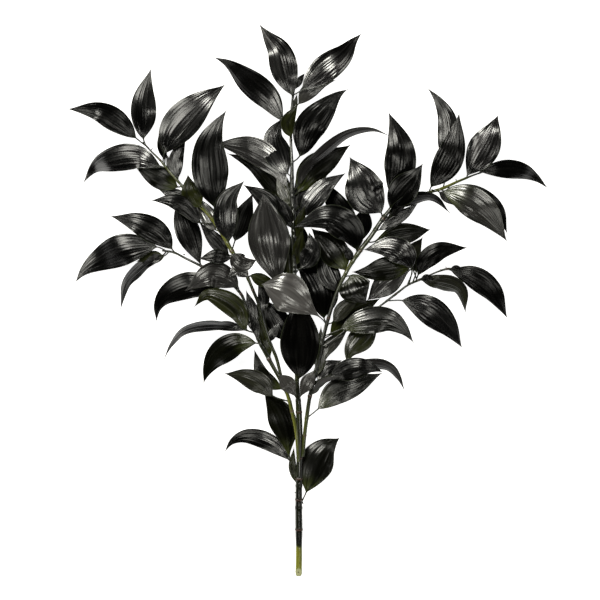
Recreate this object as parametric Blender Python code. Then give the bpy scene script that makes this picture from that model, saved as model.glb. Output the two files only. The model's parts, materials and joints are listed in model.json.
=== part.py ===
"""Dried ruscus stem, cut and laid down with its leafy branches spread on a flat surface.

The plan is drawn at full size on a square sheet, x to the right and y down from its upper
left corner. Heights are measured up from the surface. Both are millimetres in the tables
below, and become metres in the model. +Y runs from the cut end to the top leaves.
"""

import math
from typing import NamedTuple

import bmesh
import bpy
from mathutils import Vector

# Driving dimensions

MM = 0.001
SHEET_MIDDLE_X = 308.4
SHEET_MIDDLE_Y = 300.5
SEAT_GAP = 0.3 * MM
WELD_DISTANCE = 0.001 * MM
DIRECTION_STEP = 0.5 * MM
PETIOLE_RADIUS = 0.75 * MM
LONG_PETIOLE = 8.0 * MM
PETIOLE_STATION = 0.6
BLADE_THICKNESS = 0.8 * MM
TIP_HALF_WIDTH = 0.4 * MM
ROOT_SINK = 4.0 * MM
PETIOLE_SLANT = 0.8
TIP_SHARPNESS = 1.4
WAVE_HEIGHT = 0.035
WAVES = 2.5
WAVE_LAG = 2.0
BLADE_OPENING = 0.25
SMALL_LEAF = 42.0 * MM
STEM_STATION = 14.0 * MM
MAIN_SIDES_RESOLUTION = 2
BRANCH_SIDES_RESOLUTION = 1
CUT_PLACE = (298.5, 573.2, 3.2)
CUT_NORMAL = (0.0, -1.0, 1.3)
UP = Vector((0.0, 0.0, 1.0))
ROUGHNESS = 0.42
CREASE_ANGLE = math.radians(40.0)

BLADE_STATIONS = (0.0, 0.09, 0.25, 0.44, 0.64, 0.82, 0.94, 1.0)
SMALL_BLADE_STATIONS = (0.0, 0.15, 0.42, 0.72, 1.0)


class Leaf(NamedTuple):
    """One leaf: its midrib's points (x, y, height) from blade base to tip, and its shape.

    roll lifts the blade's left edge, in degrees, seen from above and from base to tip.
    fold raises both edges over the midrib, or drops them, as a share of the half width.
    foot is where the petiole leaves the stem, if that isn't just below the blade's base.
    widest is where the blade is widest, as a share of its length.
    """

    midrib: tuple
    width: float
    roll: float = 0.0
    fold: float = -0.16
    foot: tuple = ()
    widest: float = 0.4


class Stem(NamedTuple):
    """One leafy stem: its route (x, y, height, radius) from root to end, and its leaves."""

    name: str
    route: tuple
    leaves: tuple
    colour: tuple
    parent: str = ""


# Leaves of the main stem, from the top down

TOP_LEAVES = (
    Leaf(((292, 95, 42), (286, 74, 50), (279.5, 52, 51), (268.5, 37, 48), (259, 24, 44)), 28, roll=8),
    Leaf(((283, 121, 43), (269, 99, 40), (246, 79, 24), (227, 62.5, 6), (213, 56, 0)), 27, roll=-8),
    Leaf(((290.5, 137, 44), (288.5, 122, 49), (298, 105, 50)), 15, roll=15),
    Leaf(((302, 90, 42), (322, 71.5, 47), (342, 55.5, 45), (353, 42, 40), (362, 33, 36)), 28, roll=-6),
    Leaf(((296, 88, 40), (300, 80, 40), (305, 73, 38)), 7),
    Leaf(((298.5, 104, 40), (308, 92, 35), (320, 84, 31), (336, 80, 26)), 16),
    Leaf(
        ((299.5, 156.5, 44), (309.5, 128.5, 53), (326, 108.5, 57), (339, 95, 54), (348, 89.5, 52)),
        31, roll=10,
    ),
    Leaf(((288, 174, 43), (277, 152, 37), (274, 135, 31), (283, 117, 26)), 27),
    Leaf(((289, 189, 43), (274, 165, 38), (251, 149, 30), (214, 143, 20)), 27, roll=-8, widest=0.5),
    Leaf(((290, 212, 43), (278, 186.5, 32), (257, 165.5, 20), (227, 153, 8)), 26, roll=-8),
    Leaf(((292, 228, 47), (284, 210, 52), (275, 194, 54)), 14),
    Leaf(((285, 222, 46), (265, 199, 42), (243, 184.5, 38)), 20),
    Leaf(((291, 205, 44), (284, 190, 42), (277, 172, 38)), 15),
    Leaf(((295, 238, 46), (300, 222, 49), (305, 205, 50)), 11),
    Leaf(((293, 110, 40), (295.5, 102, 41), (297, 94, 40)), 5),
    Leaf(((295, 222, 43), (297, 200, 41), (297, 172, 37)), 9),
)

CENTRE_LEAVES = (
    Leaf(
        ((282, 288, 50), (274, 264, 58), (268, 232, 67), (263.5, 193, 74)),
        42, fold=-0.22, widest=0.52,
    ),
    Leaf(
        ((297, 187, 46), (306, 168, 53), (328, 149, 56), (350, 135, 57), (372, 130.5, 55),
         (391, 136.5, 46)),
        18, roll=55,
    ),
    Leaf(((298, 192, 45), (311, 172, 45), (331, 158, 41), (351, 144.5, 33)), 28, roll=10),
    Leaf(((298, 208, 46), (310, 191, 42), (327, 176, 37)), 16),
    Leaf(((300, 217, 47), (311, 203, 51), (325, 187, 51), (346, 173, 45)), 21),
    Leaf(((301, 268, 49), (312, 250, 56), (309, 232, 58)), 20, fold=0.25),
    Leaf(((298, 270, 43), (300, 245, 36), (296, 214, 33)), 22),
    Leaf(((299, 378, 44), (300, 345, 50), (299, 318, 51), (296, 292, 50)), 40),
    Leaf(((296, 397, 43), (290, 387, 47), (279, 374, 48)), 16, widest=0.55),
    Leaf(((300, 397, 43), (306, 385, 50), (314, 370, 54)), 14, widest=0.55),
    Leaf(((290, 340, 43), (277, 320, 36), (263, 298, 31)), 25),
    Leaf(((296, 265, 46), (299, 247, 50), (303, 229, 52)), 12),
    Leaf(((292, 282, 44), (289, 258, 44), (290, 234, 42)), 16),
)

LOWER_LEAVES = (
    Leaf(
        ((289, 460, 25), (270, 443, 21), (246, 436.5, 13), (232, 442, 7), (224, 453, 3)),
        18, foot=(298, 478),
    ),
    Leaf(
        ((290, 459, 26), (286, 432, 29), (278, 411, 29), (264, 393, 27)),
        28, foot=(298, 480), widest=0.55,
    ),
    Leaf(
        ((306, 493, 20), (315, 466, 22), (325, 449.5, 20), (340, 438, 14)),
        35, foot=(300, 508), widest=0.46,
    ),
    Leaf(((296, 482, 22), (292.5, 466, 26), (294, 447, 30)), 8),
)

# Leaves of the upper left branch

LEFT_UPPER_LEAVES = (
    Leaf(((136, 138, 37), (118, 121.5, 44), (97, 111, 46), (67, 109, 40)), 24, roll=12),
    Leaf(((143.5, 139, 38), (143.5, 118, 47), (144.5, 96, 54), (151.5, 68.5, 56)), 26, roll=-8),
    Leaf(((161, 167, 40), (137, 157, 41), (108, 160.5, 25), (93, 168, 6), (82, 183, 0)), 27),
    Leaf(((178, 187, 41), (158, 176.5, 34), (132, 163, 27)), 23),
    Leaf(((188, 198, 42), (175, 195, 35), (158, 189, 30)), 13),
    Leaf(((201, 223, 44), (187, 207.5, 50), (172, 201, 52), (151, 200.5, 50)), 18),
    Leaf(((201, 207, 46), (191, 192, 51), (188, 174.5, 50)), 21),
    Leaf(((164, 154, 41), (176, 129, 50), (199, 105, 56), (226, 84.5, 50)), 36, roll=-8),
    Leaf(((165, 160, 39), (161.5, 145, 42), (160, 129, 43)), 9),
    Leaf(((178, 178, 41), (176, 160, 38), (186, 137, 36)), 15),
    Leaf(((177, 180, 41), (171, 168, 39), (166, 153, 37)), 8),
    Leaf(((216, 230, 43), (207, 214, 38), (196, 196, 34)), 17),
    Leaf(((229, 255, 45), (215, 240, 40), (199, 222, 36)), 15),
    Leaf(((215, 208, 47), (211.5, 178, 62), (210, 146, 69), (217, 127, 70), (227, 110.5, 68)), 37, roll=5),
    Leaf(((229, 241, 48), (226, 220, 52), (228, 200, 57), (245, 180.5, 58)), 25),
    Leaf(((235, 241, 48), (243, 218, 50), (253, 193, 50)), 21),
    Leaf(((231, 258, 48), (215, 256.5, 52), (199, 259, 52)), 15),
    Leaf(((232, 254, 49), (243, 264, 52), (257, 260, 51)), 18, fold=0.3),
    Leaf(((248, 277, 49), (238, 270, 52), (228, 278, 52)), 13),
    Leaf(((250, 276, 49), (264, 281, 49), (279, 285.5, 46)), 13),
    Leaf(((268, 343, 46), (273, 333, 50), (281, 321, 50)), 9),
    Leaf(((262, 313, 46), (263.5, 297, 44), (258, 280, 43)), 12),
)

# Leaves of the left lower branch and its twig

LEFT_LOWER_LEAVES = (
    Leaf(((172, 249, 36), (159, 234, 42), (137, 222.5, 44), (110, 216, 40)), 26, roll=6),
    Leaf(((157, 247, 34), (127, 248.5, 28), (98, 260.5, 8), (83, 271, 2), (74, 283, -2)), 32),
    Leaf(((163, 255, 32), (146, 262, 28), (126.5, 280, 20), (120, 310, 12)), 20, roll=50),
    Leaf(((164, 256, 32), (150, 257.5, 27), (136, 261.5, 23)), 13),
    Leaf(((201, 265, 34), (191.5, 241, 27), (182.5, 217, 22), (177, 196, 20)), 25, widest=0.5),
    Leaf(((238, 287, 42), (214, 274, 51), (185, 291, 51)), 26, roll=6),
    Leaf(
        ((217, 288, 37), (190, 285, 33), (167, 294.5, 24), (157.5, 307, 16), (156, 322, 10)),
        27, widest=0.36,
    ),
    Leaf(((247, 330, 41), (238, 311, 46), (223, 299.5, 47), (207, 295, 45), (194, 307, 38)), 22),
    Leaf(
        ((245, 330, 38), (215, 323.5, 36), (183.5, 331.5, 28), (170.5, 344.5, 19), (163.5, 360, 12)),
        18, roll=55,
    ),
    Leaf(((256, 343, 39), (237, 343.5, 37), (217.5, 355.5, 25), (207.5, 370, 13), (203, 384, 4)), 26),
    Leaf(((273, 396, 36), (262, 385, 33), (245, 377, 28), (224, 373.5, 22)), 21),
    Leaf(((282, 389, 38), (263, 376, 27), (254, 349, 20)), 15),
    Leaf(((258, 338, 42), (254, 322, 46), (249, 308, 47)), 9),
    Leaf(((261, 342, 38), (262, 326, 27), (257, 300, 21)), 16),
    Leaf(((270, 356, 40), (264, 336, 43), (258, 314, 43)), 11),
    Leaf(((252, 330, 37), (252, 310, 33), (246, 290, 30)), 13),
)

# Leaves of the right branch, from the lowest up

RIGHT_LOWER_LEAVES = (
    Leaf(((318, 409, 36), (336, 392.5, 33), (357, 384, 26), (383, 373, 12)), 26, foot=(307, 418)),
    Leaf(((312, 394, 40), (324, 381.5, 45), (342, 377, 43)), 11, roll=55),
    Leaf(((318, 382, 40), (326, 370, 37), (342, 360, 33)), 18),
    Leaf(((330, 377, 42), (351, 369, 46), (368, 367, 46), (383, 372, 40)), 22),
    Leaf(
        ((345, 368, 38), (366, 364, 36), (388, 368, 28), (398.5, 378, 18), (405, 391, 10)),
        16, roll=45,
    ),
    Leaf(((344, 367, 40), (351, 350, 36), (378, 323, 30)), 25, widest=0.6),
    Leaf(((320, 369, 41), (326, 350, 38), (347, 331, 34)), 14, widest=0.55),
    Leaf(((318, 374, 41), (320, 352, 38), (321, 326, 35)), 13),
    Leaf(((341, 329, 46), (364, 321.5, 51), (388, 320, 47), (403, 329, 41), (414, 343, 35)), 27),
    Leaf(((330, 335, 42), (350, 316, 31), (381, 298, 18)), 22),
    Leaf(((333, 322, 46), (345, 307, 45), (362, 297, 44)), 15),
    Leaf(((349, 276, 49), (356, 290, 54), (366, 304, 52)), 33),
)

RIGHT_MIDDLE_LEAVES = (
    Leaf(((323, 320, 50), (305, 306, 66), (285, 291.5, 72), (262, 284, 66)), 40, fold=-0.2, widest=0.64),
    Leaf(((324, 318, 43), (322, 290, 32), (308, 268, 26), (288, 253, 21)), 33),
    Leaf(((338, 292, 46), (328, 272, 40), (320, 245, 37)), 22),
    Leaf(((345, 270, 47), (332, 249, 41), (311, 228, 36)), 29),
    Leaf(((357, 250, 51), (350, 231, 66), (328, 218, 72), (293, 228, 66)), 31),
    Leaf(((355, 245, 45), (338, 207, 29), (317, 175, 20)), 25),
    Leaf(((352, 261, 49), (348.5, 254, 53), (345, 244, 54)), 9),
    Leaf(((359, 246, 46), (361.5, 228, 40), (366, 206, 32)), 20, widest=0.55),
    Leaf(((373, 242, 47), (392, 236, 44), (412, 232.5, 38), (431, 229.5, 32)), 22, widest=0.5),
    Leaf(((381, 213, 47), (366, 194, 56), (359.5, 177, 58), (354, 165.5, 56), (349.5, 157, 52)), 40),
    Leaf(((380, 211, 46), (366, 208, 48), (352, 210, 46)), 7),
    Leaf(((379, 230, 47), (392, 221, 46), (405, 213.5, 42), (419, 202, 38)), 13),
)

RIGHT_UPPER_LEAVES = (
    Leaf(((391, 195, 46), (399, 172, 56), (400, 149, 61), (394.5, 128, 61), (388, 112, 60)), 32, roll=5),
    Leaf(((390, 207, 47), (402, 191, 58), (413, 178, 66), (422.5, 164, 68)), 29, roll=-8),
    Leaf(((447, 172, 42), (448.5, 145, 38), (446.8, 118, 33), (438, 100, 29), (427, 87, 26)), 22),
    Leaf(((431, 187, 43), (446, 165.5, 52), (454, 145, 57), (459, 113, 55)), 29, roll=8),
    Leaf(((467, 176, 40), (479.5, 155, 48), (489.5, 136, 50), (498, 115, 46)), 32, roll=-8, widest=0.46),
    Leaf(((480, 172, 38), (500, 169, 33), (522, 170.5, 17), (537, 177.5, 4), (549.5, 188.5, -1)), 19),
    Leaf(((443, 191, 42), (465, 198.5, 46), (487, 214, 42), (507.5, 241.5, 27)), 31),
    Leaf(((448, 188, 40), (476, 196, 37), (497, 210, 31), (508, 234, 18)), 21),
    Leaf(((388, 217, 46), (405, 203, 50), (430, 197.5, 48), (450, 213, 40)), 19, roll=52),
    Leaf(((439, 192, 41), (448, 199, 40), (457, 206, 38)), 9),
)

# Leaves of the side twig on the right

SIDE_TWIG_LEAVES = (
    Leaf(((416, 272, 40), (413, 254, 30), (423, 237, 21)), 19),
    Leaf(((412, 268, 48), (404, 254.5, 58), (388, 247.5, 60), (363, 250, 56)), 26, foot=(418, 281)),
    Leaf(((411, 268, 42), (387, 268.5, 43), (369, 272, 42), (352, 272, 40)), 24, foot=(410, 285)),
    Leaf(((412, 270, 41), (390, 281, 39), (367, 300.5, 36)), 24, foot=(408, 286), widest=0.52),
    Leaf(((418, 275, 40), (425.5, 261, 44), (439.5, 251, 46), (468, 247.5, 40)), 20),
    Leaf(((451, 270, 36), (473, 276.5, 33), (492.5, 291, 20), (508.5, 319, -1)), 24),
    Leaf(((450, 270, 37), (456, 267, 38), (463, 269, 37)), 4),
    Leaf(((422, 280, 38), (443, 283, 36), (460, 290.5, 30), (466, 313, 18)), 20, roll=35),
    Leaf(((421, 280, 39), (427, 277, 41), (434, 280, 40)), 6),
    Leaf(((402, 300.5, 38), (425, 307.5, 34), (447, 325, 21), (463, 348.5, 3)), 29, foot=(386, 300)),
)

# The five leafy stems

MAIN_STEM = Stem(
    "main_stem",
    (
        (298.5, 584, 2.0, 3.3), (299, 548, 6, 3.2), (299, 530, 10, 3.7), (298.8, 500, 17, 3.5),
        (299.5, 458, 27, 2.9), (300, 432, 32, 2.7), (299, 412, 36, 3.0), (298, 395, 39, 2.4),
        (297, 380, 41, 2.1), (296, 340, 44, 2.0), (295, 300, 46, 2.0), (294, 250, 46, 2.2),
        (293, 215, 46, 2.4), (292, 190, 45, 2.3), (292, 165, 44, 1.7), (291, 140, 42, 1.4),
        (292, 105, 40, 1.2), (295, 84, 41, 0.9),
    ),
    TOP_LEAVES + CENTRE_LEAVES + LOWER_LEAVES,
    (0.030, 0.034, 0.026, 1.0),
)

LEFT_LOWER_BRANCH = Stem(
    "left_lower_branch",
    (
        (298, 462, 33, 1.8), (296, 430, 37, 1.8), (292, 411, 38.5, 1.9), (287, 393, 40, 1.9),
        (280, 379, 41, 1.9), (269, 359, 41.5, 2.1), (259, 340, 41, 2.1), (253, 325, 40.5, 1.8),
        (247.5, 310, 40, 1.7), (241, 294, 39, 1.5), (229, 282, 38, 1.4), (216, 274.5, 37, 1.4),
        (202, 266.5, 36, 1.3), (185, 258, 35, 1.2), (174, 252.5, 34, 1.1), (162, 250.5, 33, 0.9),
    ),
    LEFT_LOWER_LEAVES,
    (0.105, 0.130, 0.050, 1.0),
    "main_stem",
)

LEFT_UPPER_BRANCH = Stem(
    "left_upper_branch",
    (
        (284, 374, 43, 1.6), (276.5, 358, 46, 1.7), (269, 340, 47.5, 1.7), (263.5, 322, 48, 1.6),
        (259, 305, 48, 1.6), (253, 290, 48, 1.6), (246, 274, 48, 1.7), (232, 251, 47, 2.1),
        (220, 230, 46, 2.1), (211, 217, 45, 2.0), (199, 204, 43.5, 1.7), (184, 188, 42, 1.5),
        (170, 172, 40, 1.2), (160, 160, 39, 1.1), (150, 150, 38, 0.9), (143, 142, 37.5, 0.8),
    ),
    LEFT_UPPER_LEAVES,
    (0.220, 0.280, 0.060, 1.0),
    "left_lower_branch",
)

RIGHT_BRANCH = Stem(
    "right_branch",
    (
        (305, 457, 30, 1.9), (304.5, 437, 33, 1.9), (306.5, 420, 35, 2.0), (310, 396, 38, 2.0),
        (316, 370, 42, 1.9), (321.5, 345, 44, 1.9), (328.5, 318, 46, 1.8), (338, 290, 48, 1.8),
        (347.5, 270, 48.5, 1.9), (360, 250.5, 48, 2.3), (371.5, 235.5, 47, 2.2), (383, 218.5, 46, 2.1),
        (395, 205, 45, 1.8), (408, 198.5, 44, 1.4), (421, 194.5, 43, 1.3), (441, 189, 42, 1.5),
        (458, 181.5, 40, 1.3), (474, 175, 39, 0.9), (483, 172, 38, 0.8),
    ),
    RIGHT_LOWER_LEAVES + RIGHT_MIDDLE_LEAVES + RIGHT_UPPER_LEAVES,
    (0.120, 0.145, 0.055, 1.0),
    "main_stem",
)

RIGHT_SIDE_TWIG = Stem(
    "right_side_twig",
    (
        (326, 347, 44, 1.0), (334, 339, 43.5, 1.0), (348, 328, 43, 1.0), (360, 320, 42.5, 1.0),
        (380, 306, 41, 1.0), (396, 294, 40, 1.2), (408, 285, 39, 1.0), (419, 280, 38, 1.1),
        (428, 276, 37, 0.9), (437, 272, 36.5, 0.9), (447, 269, 36, 1.1), (454, 269, 36, 0.8),
    ),
    SIDE_TWIG_LEAVES,
    (0.040, 0.055, 0.032, 1.0),
    "right_branch",
)

LEAFY_STEMS = (
    MAIN_STEM,
    LEFT_LOWER_BRANCH,
    LEFT_UPPER_BRANCH,
    RIGHT_BRANCH,
    RIGHT_SIDE_TWIG,
)


def place(x, y, height):
    """Return the model's point for a point of the plan."""
    return Vector(((x - SHEET_MIDDLE_X) * MM, (SHEET_MIDDLE_Y - y) * MM, height * MM))


def curve_point(before, start, end, after, share):
    """Return a point between start and end on a smooth curve through all four."""
    knots = [0.0]
    for left, right in ((before, start), (start, end), (end, after)):
        knots.append(knots[-1] + math.sqrt((right - left).length))
    here = knots[1] + share * (knots[2] - knots[1])

    def blend(left, right, low, high):
        return left.lerp(right, (here - knots[low]) / (knots[high] - knots[low]))

    first = blend(blend(before, start, 0, 1), blend(start, end, 1, 2), 0, 2)
    second = blend(blend(start, end, 1, 2), blend(end, after, 2, 3), 1, 3)
    return blend(first, second, 1, 2)


class Course:
    """A smooth course through hand-placed points, read by the distance along it."""

    STEPS = 12

    def __init__(self, points, radii=None):
        radii = radii or [0.0] * len(points)
        marks = [Vector((*point, radius)) for point, radius in zip(points, radii)]
        chain = [2 * marks[0] - marks[1], *marks, 2 * marks[-1] - marks[-2]]
        self.samples = []
        for index in range(len(marks) - 1):
            for step in range(self.STEPS):
                self.samples.append(curve_point(*chain[index:index + 4], step / self.STEPS))
        self.samples.append(marks[-1])
        self.reach = [0.0]
        for left, right in zip(self.samples, self.samples[1:]):
            self.reach.append(self.reach[-1] + (right - left).length)
        self.length = self.reach[-1]

    def at(self, distance):
        """Return the point and radius at a distance from the start."""
        distance = min(max(distance, 0.0), self.length)
        for index, reach in enumerate(self.reach[1:]):
            if distance <= reach:
                share = (distance - self.reach[index]) / (reach - self.reach[index])
                here = self.samples[index].lerp(self.samples[index + 1], share)
                return here.to_3d(), here.w
        return self.samples[-1].to_3d(), self.samples[-1].w

    def direction(self, distance):
        """Return the course's unit direction at a distance from the start."""
        after, before = self.at(distance + DIRECTION_STEP), self.at(distance - DIRECTION_STEP)
        return (after[0] - before[0]).normalized()

    def nearest(self, point):
        """Return the distance along the course that lies nearest to a point."""
        gaps = [(sample.to_3d() - point).length for sample in self.samples]
        return self.reach[gaps.index(min(gaps))]


def new_object(name, mesh, material=None):
    """Link a mesh to the scene under a name."""
    thing = bpy.data.objects.new(name, mesh)
    bpy.context.scene.collection.objects.link(thing)
    if material:
        mesh.materials.append(material)
    return thing


def stem_course(stem, courses):
    """Return a stem's course, with its root seated beside the stem that carries it."""
    points = [place(x, y, height) for x, y, height, _ in stem.route]
    radii = [radius * MM for *_, radius in stem.route]
    if stem.parent:
        parent = courses[stem.parent]
        seat, parent_radius = parent.at(parent.nearest(points[0]))
        outward = (points[0] - seat).normalized()
        points[0] = seat + outward * (parent_radius + radii[0] + SEAT_GAP)
    return Course(points, radii)


def stem_object(name, course, resolution):
    """Model a stem as a tapering round bar with filled ends."""
    stations = math.ceil(course.length / STEM_STATION)
    curve = bpy.data.curves.new(name, "CURVE")
    curve.dimensions = "3D"
    curve.bevel_depth = 1.0
    curve.bevel_resolution = resolution
    curve.use_fill_caps = True
    spline = curve.splines.new("POLY")
    spline.points.add(stations)
    for index, point in enumerate(spline.points):
        here, radius = course.at(course.length * index / stations)
        point.co = (*here, 1.0)
        point.radius = radius
    bar = bpy.data.objects.new(name + "_curve", curve)
    bpy.context.scene.collection.objects.link(bar)
    mesh = bpy.data.meshes.new_from_object(bar.evaluated_get(bpy.context.evaluated_depsgraph_get()))
    bpy.data.objects.remove(bar)
    bm = bmesh.new()
    bm.from_mesh(mesh)
    bmesh.ops.remove_doubles(bm, verts=bm.verts, dist=WELD_DISTANCE)
    finish_mesh(bm, mesh)
    return new_object(name, mesh)


def cut_stem_end(thing):
    """Cut the main stem's lower end on a slant, so that the cut face looks up."""
    bm = bmesh.new()
    bm.from_mesh(thing.data)
    everything = bm.verts[:] + bm.edges[:] + bm.faces[:]
    bmesh.ops.bisect_plane(
        bm, geom=everything, plane_co=place(*CUT_PLACE), plane_no=CUT_NORMAL, clear_outer=True
    )
    bmesh.ops.holes_fill(bm, edges=[edge for edge in bm.edges if edge.is_boundary])
    finish_mesh(bm, thing.data)


def finish_mesh(bm, mesh):
    """Rest a mesh on the surface where it would sink in, and write it as outward triangles."""
    for vert in bm.verts:
        vert.co.z = max(vert.co.z, 0.0)
    bmesh.ops.triangulate(bm, faces=bm.faces)
    bmesh.ops.recalc_face_normals(bm, faces=bm.faces)
    bm.to_mesh(mesh)
    bm.free()


def outline(share, widest):
    """Return a ruscus blade's half width, as a share of its widest, along its length."""
    rise = TIP_SHARPNESS * widest / (1.0 - widest)
    return (share / widest) ** rise * ((1.0 - share) / (1.0 - widest)) ** TIP_SHARPNESS


def leaf_stations(leaf, base, length):
    """Return a leaf's stations: distance, half width, half thickness and blade share."""
    stations = [(0.0, PETIOLE_RADIUS, PETIOLE_RADIUS, 0.0)]
    if base > LONG_PETIOLE:
        stations.append((PETIOLE_STATION * base, PETIOLE_RADIUS, PETIOLE_RADIUS, 0.0))
    small = length - base < SMALL_LEAF
    for share in SMALL_BLADE_STATIONS if small else BLADE_STATIONS:
        half_width = 0.5 * leaf.width * MM * outline(share, leaf.widest)
        narrowest = PETIOLE_RADIUS if share < leaf.widest else TIP_HALF_WIDTH
        thickness = PETIOLE_RADIUS if share == 0.0 else 0.5 * BLADE_THICKNESS
        distance = base + share * (length - base)
        stations.append((distance, max(half_width, narrowest), thickness, share))
    return stations


def leaf_object(name, leaf, stem):
    """Model one leaf with its petiole, rooted on the middle line of its stem."""
    midrib = [place(*point) for point in leaf.midrib]
    foot = place(*leaf.foot, leaf.midrib[0][2]) if leaf.foot else midrib[0]
    near = stem.nearest(foot)
    if not leaf.foot:
        near -= PETIOLE_SLANT * (midrib[0] - stem.at(near)[0]).length
    root = stem.at(min(near, stem.length - ROOT_SINK))[0]
    course = Course([root, *midrib])
    base = course.reach[Course.STEPS]
    stations = leaf_stations(leaf, base, course.length)

    bm = bmesh.new()
    rise = bm.verts.layers.float_vector.new("rise")
    bmesh.ops.create_grid(bm, x_segments=2, y_segments=len(stations) - 1, size=1.0)
    for vert in bm.verts:
        side = vert.co.x
        station = round((vert.co.y + 1.0) / 2.0 * (len(stations) - 1))
        distance, half_width, half_thickness, share = stations[station]
        along = course.direction(distance)
        left = UP.cross(along).normalized()
        up = along.cross(left)
        opening = min(1.0, share / BLADE_OPENING)
        roll = math.radians(leaf.roll) * opening
        left, up = (
            left * math.cos(roll) + up * math.sin(roll),
            up * math.cos(roll) - left * math.sin(roll),
        )
        wave = WAVE_HEIGHT * math.sin(WAVES * math.tau * share + WAVE_LAG * side)
        bulge = (leaf.fold + wave) * abs(side) * half_width * opening
        lower = course.at(distance)[0] - side * half_width * left + (bulge - half_thickness) * up
        vert[rise] = 2.0 * half_thickness * up
        vert.co = Vector((lower.x, lower.y, max(lower.z, 0.0)))
    bmesh.ops.triangulate(bm, faces=bm.faces)
    extruded = bmesh.ops.extrude_face_region(bm, geom=bm.faces[:])["geom"]
    for vert in extruded:
        if isinstance(vert, bmesh.types.BMVert):
            vert.co += vert[rise]
    bm.verts.layers.float_vector.remove(rise)
    mesh = bpy.data.meshes.new(name)
    finish_mesh(bm, mesh)
    return new_object(name, mesh)


def islands(bm):
    """Return the groups of faces that hang together."""
    left = set(bm.faces)
    groups = []
    while left:
        front = [left.pop()]
        group = set(front)
        while front:
            for edge in front.pop().edges:
                for face in edge.link_faces:
                    if face in left:
                        left.discard(face)
                        group.add(face)
                        front.append(face)
        groups.append(group)
    return groups


def enclosed_volume(faces):
    """Return the signed volume inside a closed group of triangles."""
    corners = [[vert.co for vert in face.verts] for face in faces]
    return sum(a.dot(b.cross(c)) for a, b, c in corners) / 6.0


def fuse(body, repeats):
    """Join the repeats to the body, and keep one closed skin with no hollow and no scrap."""
    collection = bpy.data.collections.new(body.name + "_repeats")
    for repeat in repeats:
        collection.objects.link(repeat)
    union = body.modifiers.new("Union", "BOOLEAN")
    union.operation = "UNION"
    union.operand_type = "COLLECTION"
    union.collection = collection
    evaluated = body.evaluated_get(bpy.context.evaluated_depsgraph_get())
    fused = bpy.data.meshes.new_from_object(evaluated)
    body.modifiers.remove(union)
    for repeat in repeats:
        bpy.data.objects.remove(repeat)
    bpy.data.collections.remove(collection)

    bm = bmesh.new()
    bm.from_mesh(fused)
    bmesh.ops.triangulate(bm, faces=bm.faces)
    skins = islands(bm)
    outer = max(skins, key=enclosed_volume)
    spare = {vert for skin in skins if skin is not outer for face in skin for vert in face.verts}
    bmesh.ops.delete(bm, geom=list(spare), context="VERTS")
    bm.to_mesh(fused)
    bm.free()
    body.data = fused


def plant_material(name, colour):
    """Return the satin material of a preserved stem and its leaves."""
    material = bpy.data.materials.new(name)
    material.use_nodes = True
    shader = material.node_tree.nodes["Principled BSDF"]
    shader.inputs["Base Color"].default_value = colour
    shader.inputs["Roughness"].default_value = ROUGHNESS
    shader.inputs["Metallic"].default_value = 0.0
    return material


def build_leafy_stem(stem, courses):
    """Model one stem and fuse its leaves to it."""
    course = stem_course(stem, courses)
    courses[stem.name] = course
    main = stem is MAIN_STEM
    resolution = MAIN_SIDES_RESOLUTION if main else BRANCH_SIDES_RESOLUTION
    body = stem_object(stem.name, course, resolution)
    if main:
        cut_stem_end(body)
    leaves = [
        leaf_object(f"{stem.name}_leaf_{number:02d}", leaf, course)
        for number, leaf in enumerate(stem.leaves, 1)
    ]
    fuse(body, leaves)
    body.data.name = stem.name
    body.data.materials.clear()
    body.data.materials.append(plant_material(stem.name, stem.colour))
    body.data.shade_smooth()
    body.data.set_sharp_from_angle(angle=CREASE_ANGLE)


def main():
    """Build the five leafy stems."""
    for thing in list(bpy.data.objects):
        bpy.data.objects.remove(thing)
    courses = {}
    for stem in LEAFY_STEMS:
        build_leafy_stem(stem, courses)


main()
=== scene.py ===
"""Looks of a preserved ruscus stem with near-black satin leaves, laid down on a pale floor.

The plan is drawn at full size on a square sheet, x to the right and y down from its upper left
corner. Heights are measured up from the floor. Both are millimetres in the tables, and become
metres in the model.
"""

import json
import logging
import math
import random
from dataclasses import dataclass
from enum import Enum

import bmesh
import bpy
from mathutils import Matrix, Vector, noise

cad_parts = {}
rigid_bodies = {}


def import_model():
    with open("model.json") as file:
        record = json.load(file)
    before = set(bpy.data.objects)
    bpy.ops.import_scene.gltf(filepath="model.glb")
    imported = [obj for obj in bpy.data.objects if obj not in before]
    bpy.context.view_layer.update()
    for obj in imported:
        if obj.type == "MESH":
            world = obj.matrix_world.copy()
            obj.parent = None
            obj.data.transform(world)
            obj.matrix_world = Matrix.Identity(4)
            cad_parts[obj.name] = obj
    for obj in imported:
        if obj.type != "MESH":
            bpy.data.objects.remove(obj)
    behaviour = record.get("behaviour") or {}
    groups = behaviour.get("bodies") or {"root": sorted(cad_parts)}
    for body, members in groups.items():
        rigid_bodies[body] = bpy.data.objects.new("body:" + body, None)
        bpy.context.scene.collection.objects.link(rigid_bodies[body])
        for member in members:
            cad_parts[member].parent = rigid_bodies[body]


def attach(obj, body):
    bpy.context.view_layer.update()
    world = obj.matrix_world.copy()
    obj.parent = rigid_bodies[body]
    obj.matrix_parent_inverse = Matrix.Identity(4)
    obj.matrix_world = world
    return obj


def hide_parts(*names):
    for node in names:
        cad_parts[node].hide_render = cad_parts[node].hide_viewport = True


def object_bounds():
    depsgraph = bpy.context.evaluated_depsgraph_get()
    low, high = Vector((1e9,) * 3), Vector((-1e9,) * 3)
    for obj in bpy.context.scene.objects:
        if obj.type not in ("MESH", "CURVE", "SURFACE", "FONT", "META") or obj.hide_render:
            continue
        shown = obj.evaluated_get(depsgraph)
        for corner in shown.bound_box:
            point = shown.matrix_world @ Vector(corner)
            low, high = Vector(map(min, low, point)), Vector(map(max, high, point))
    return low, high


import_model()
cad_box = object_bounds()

MM = 0.001
SHEET_MIDDLE = (308.4, 300.5)
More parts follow.
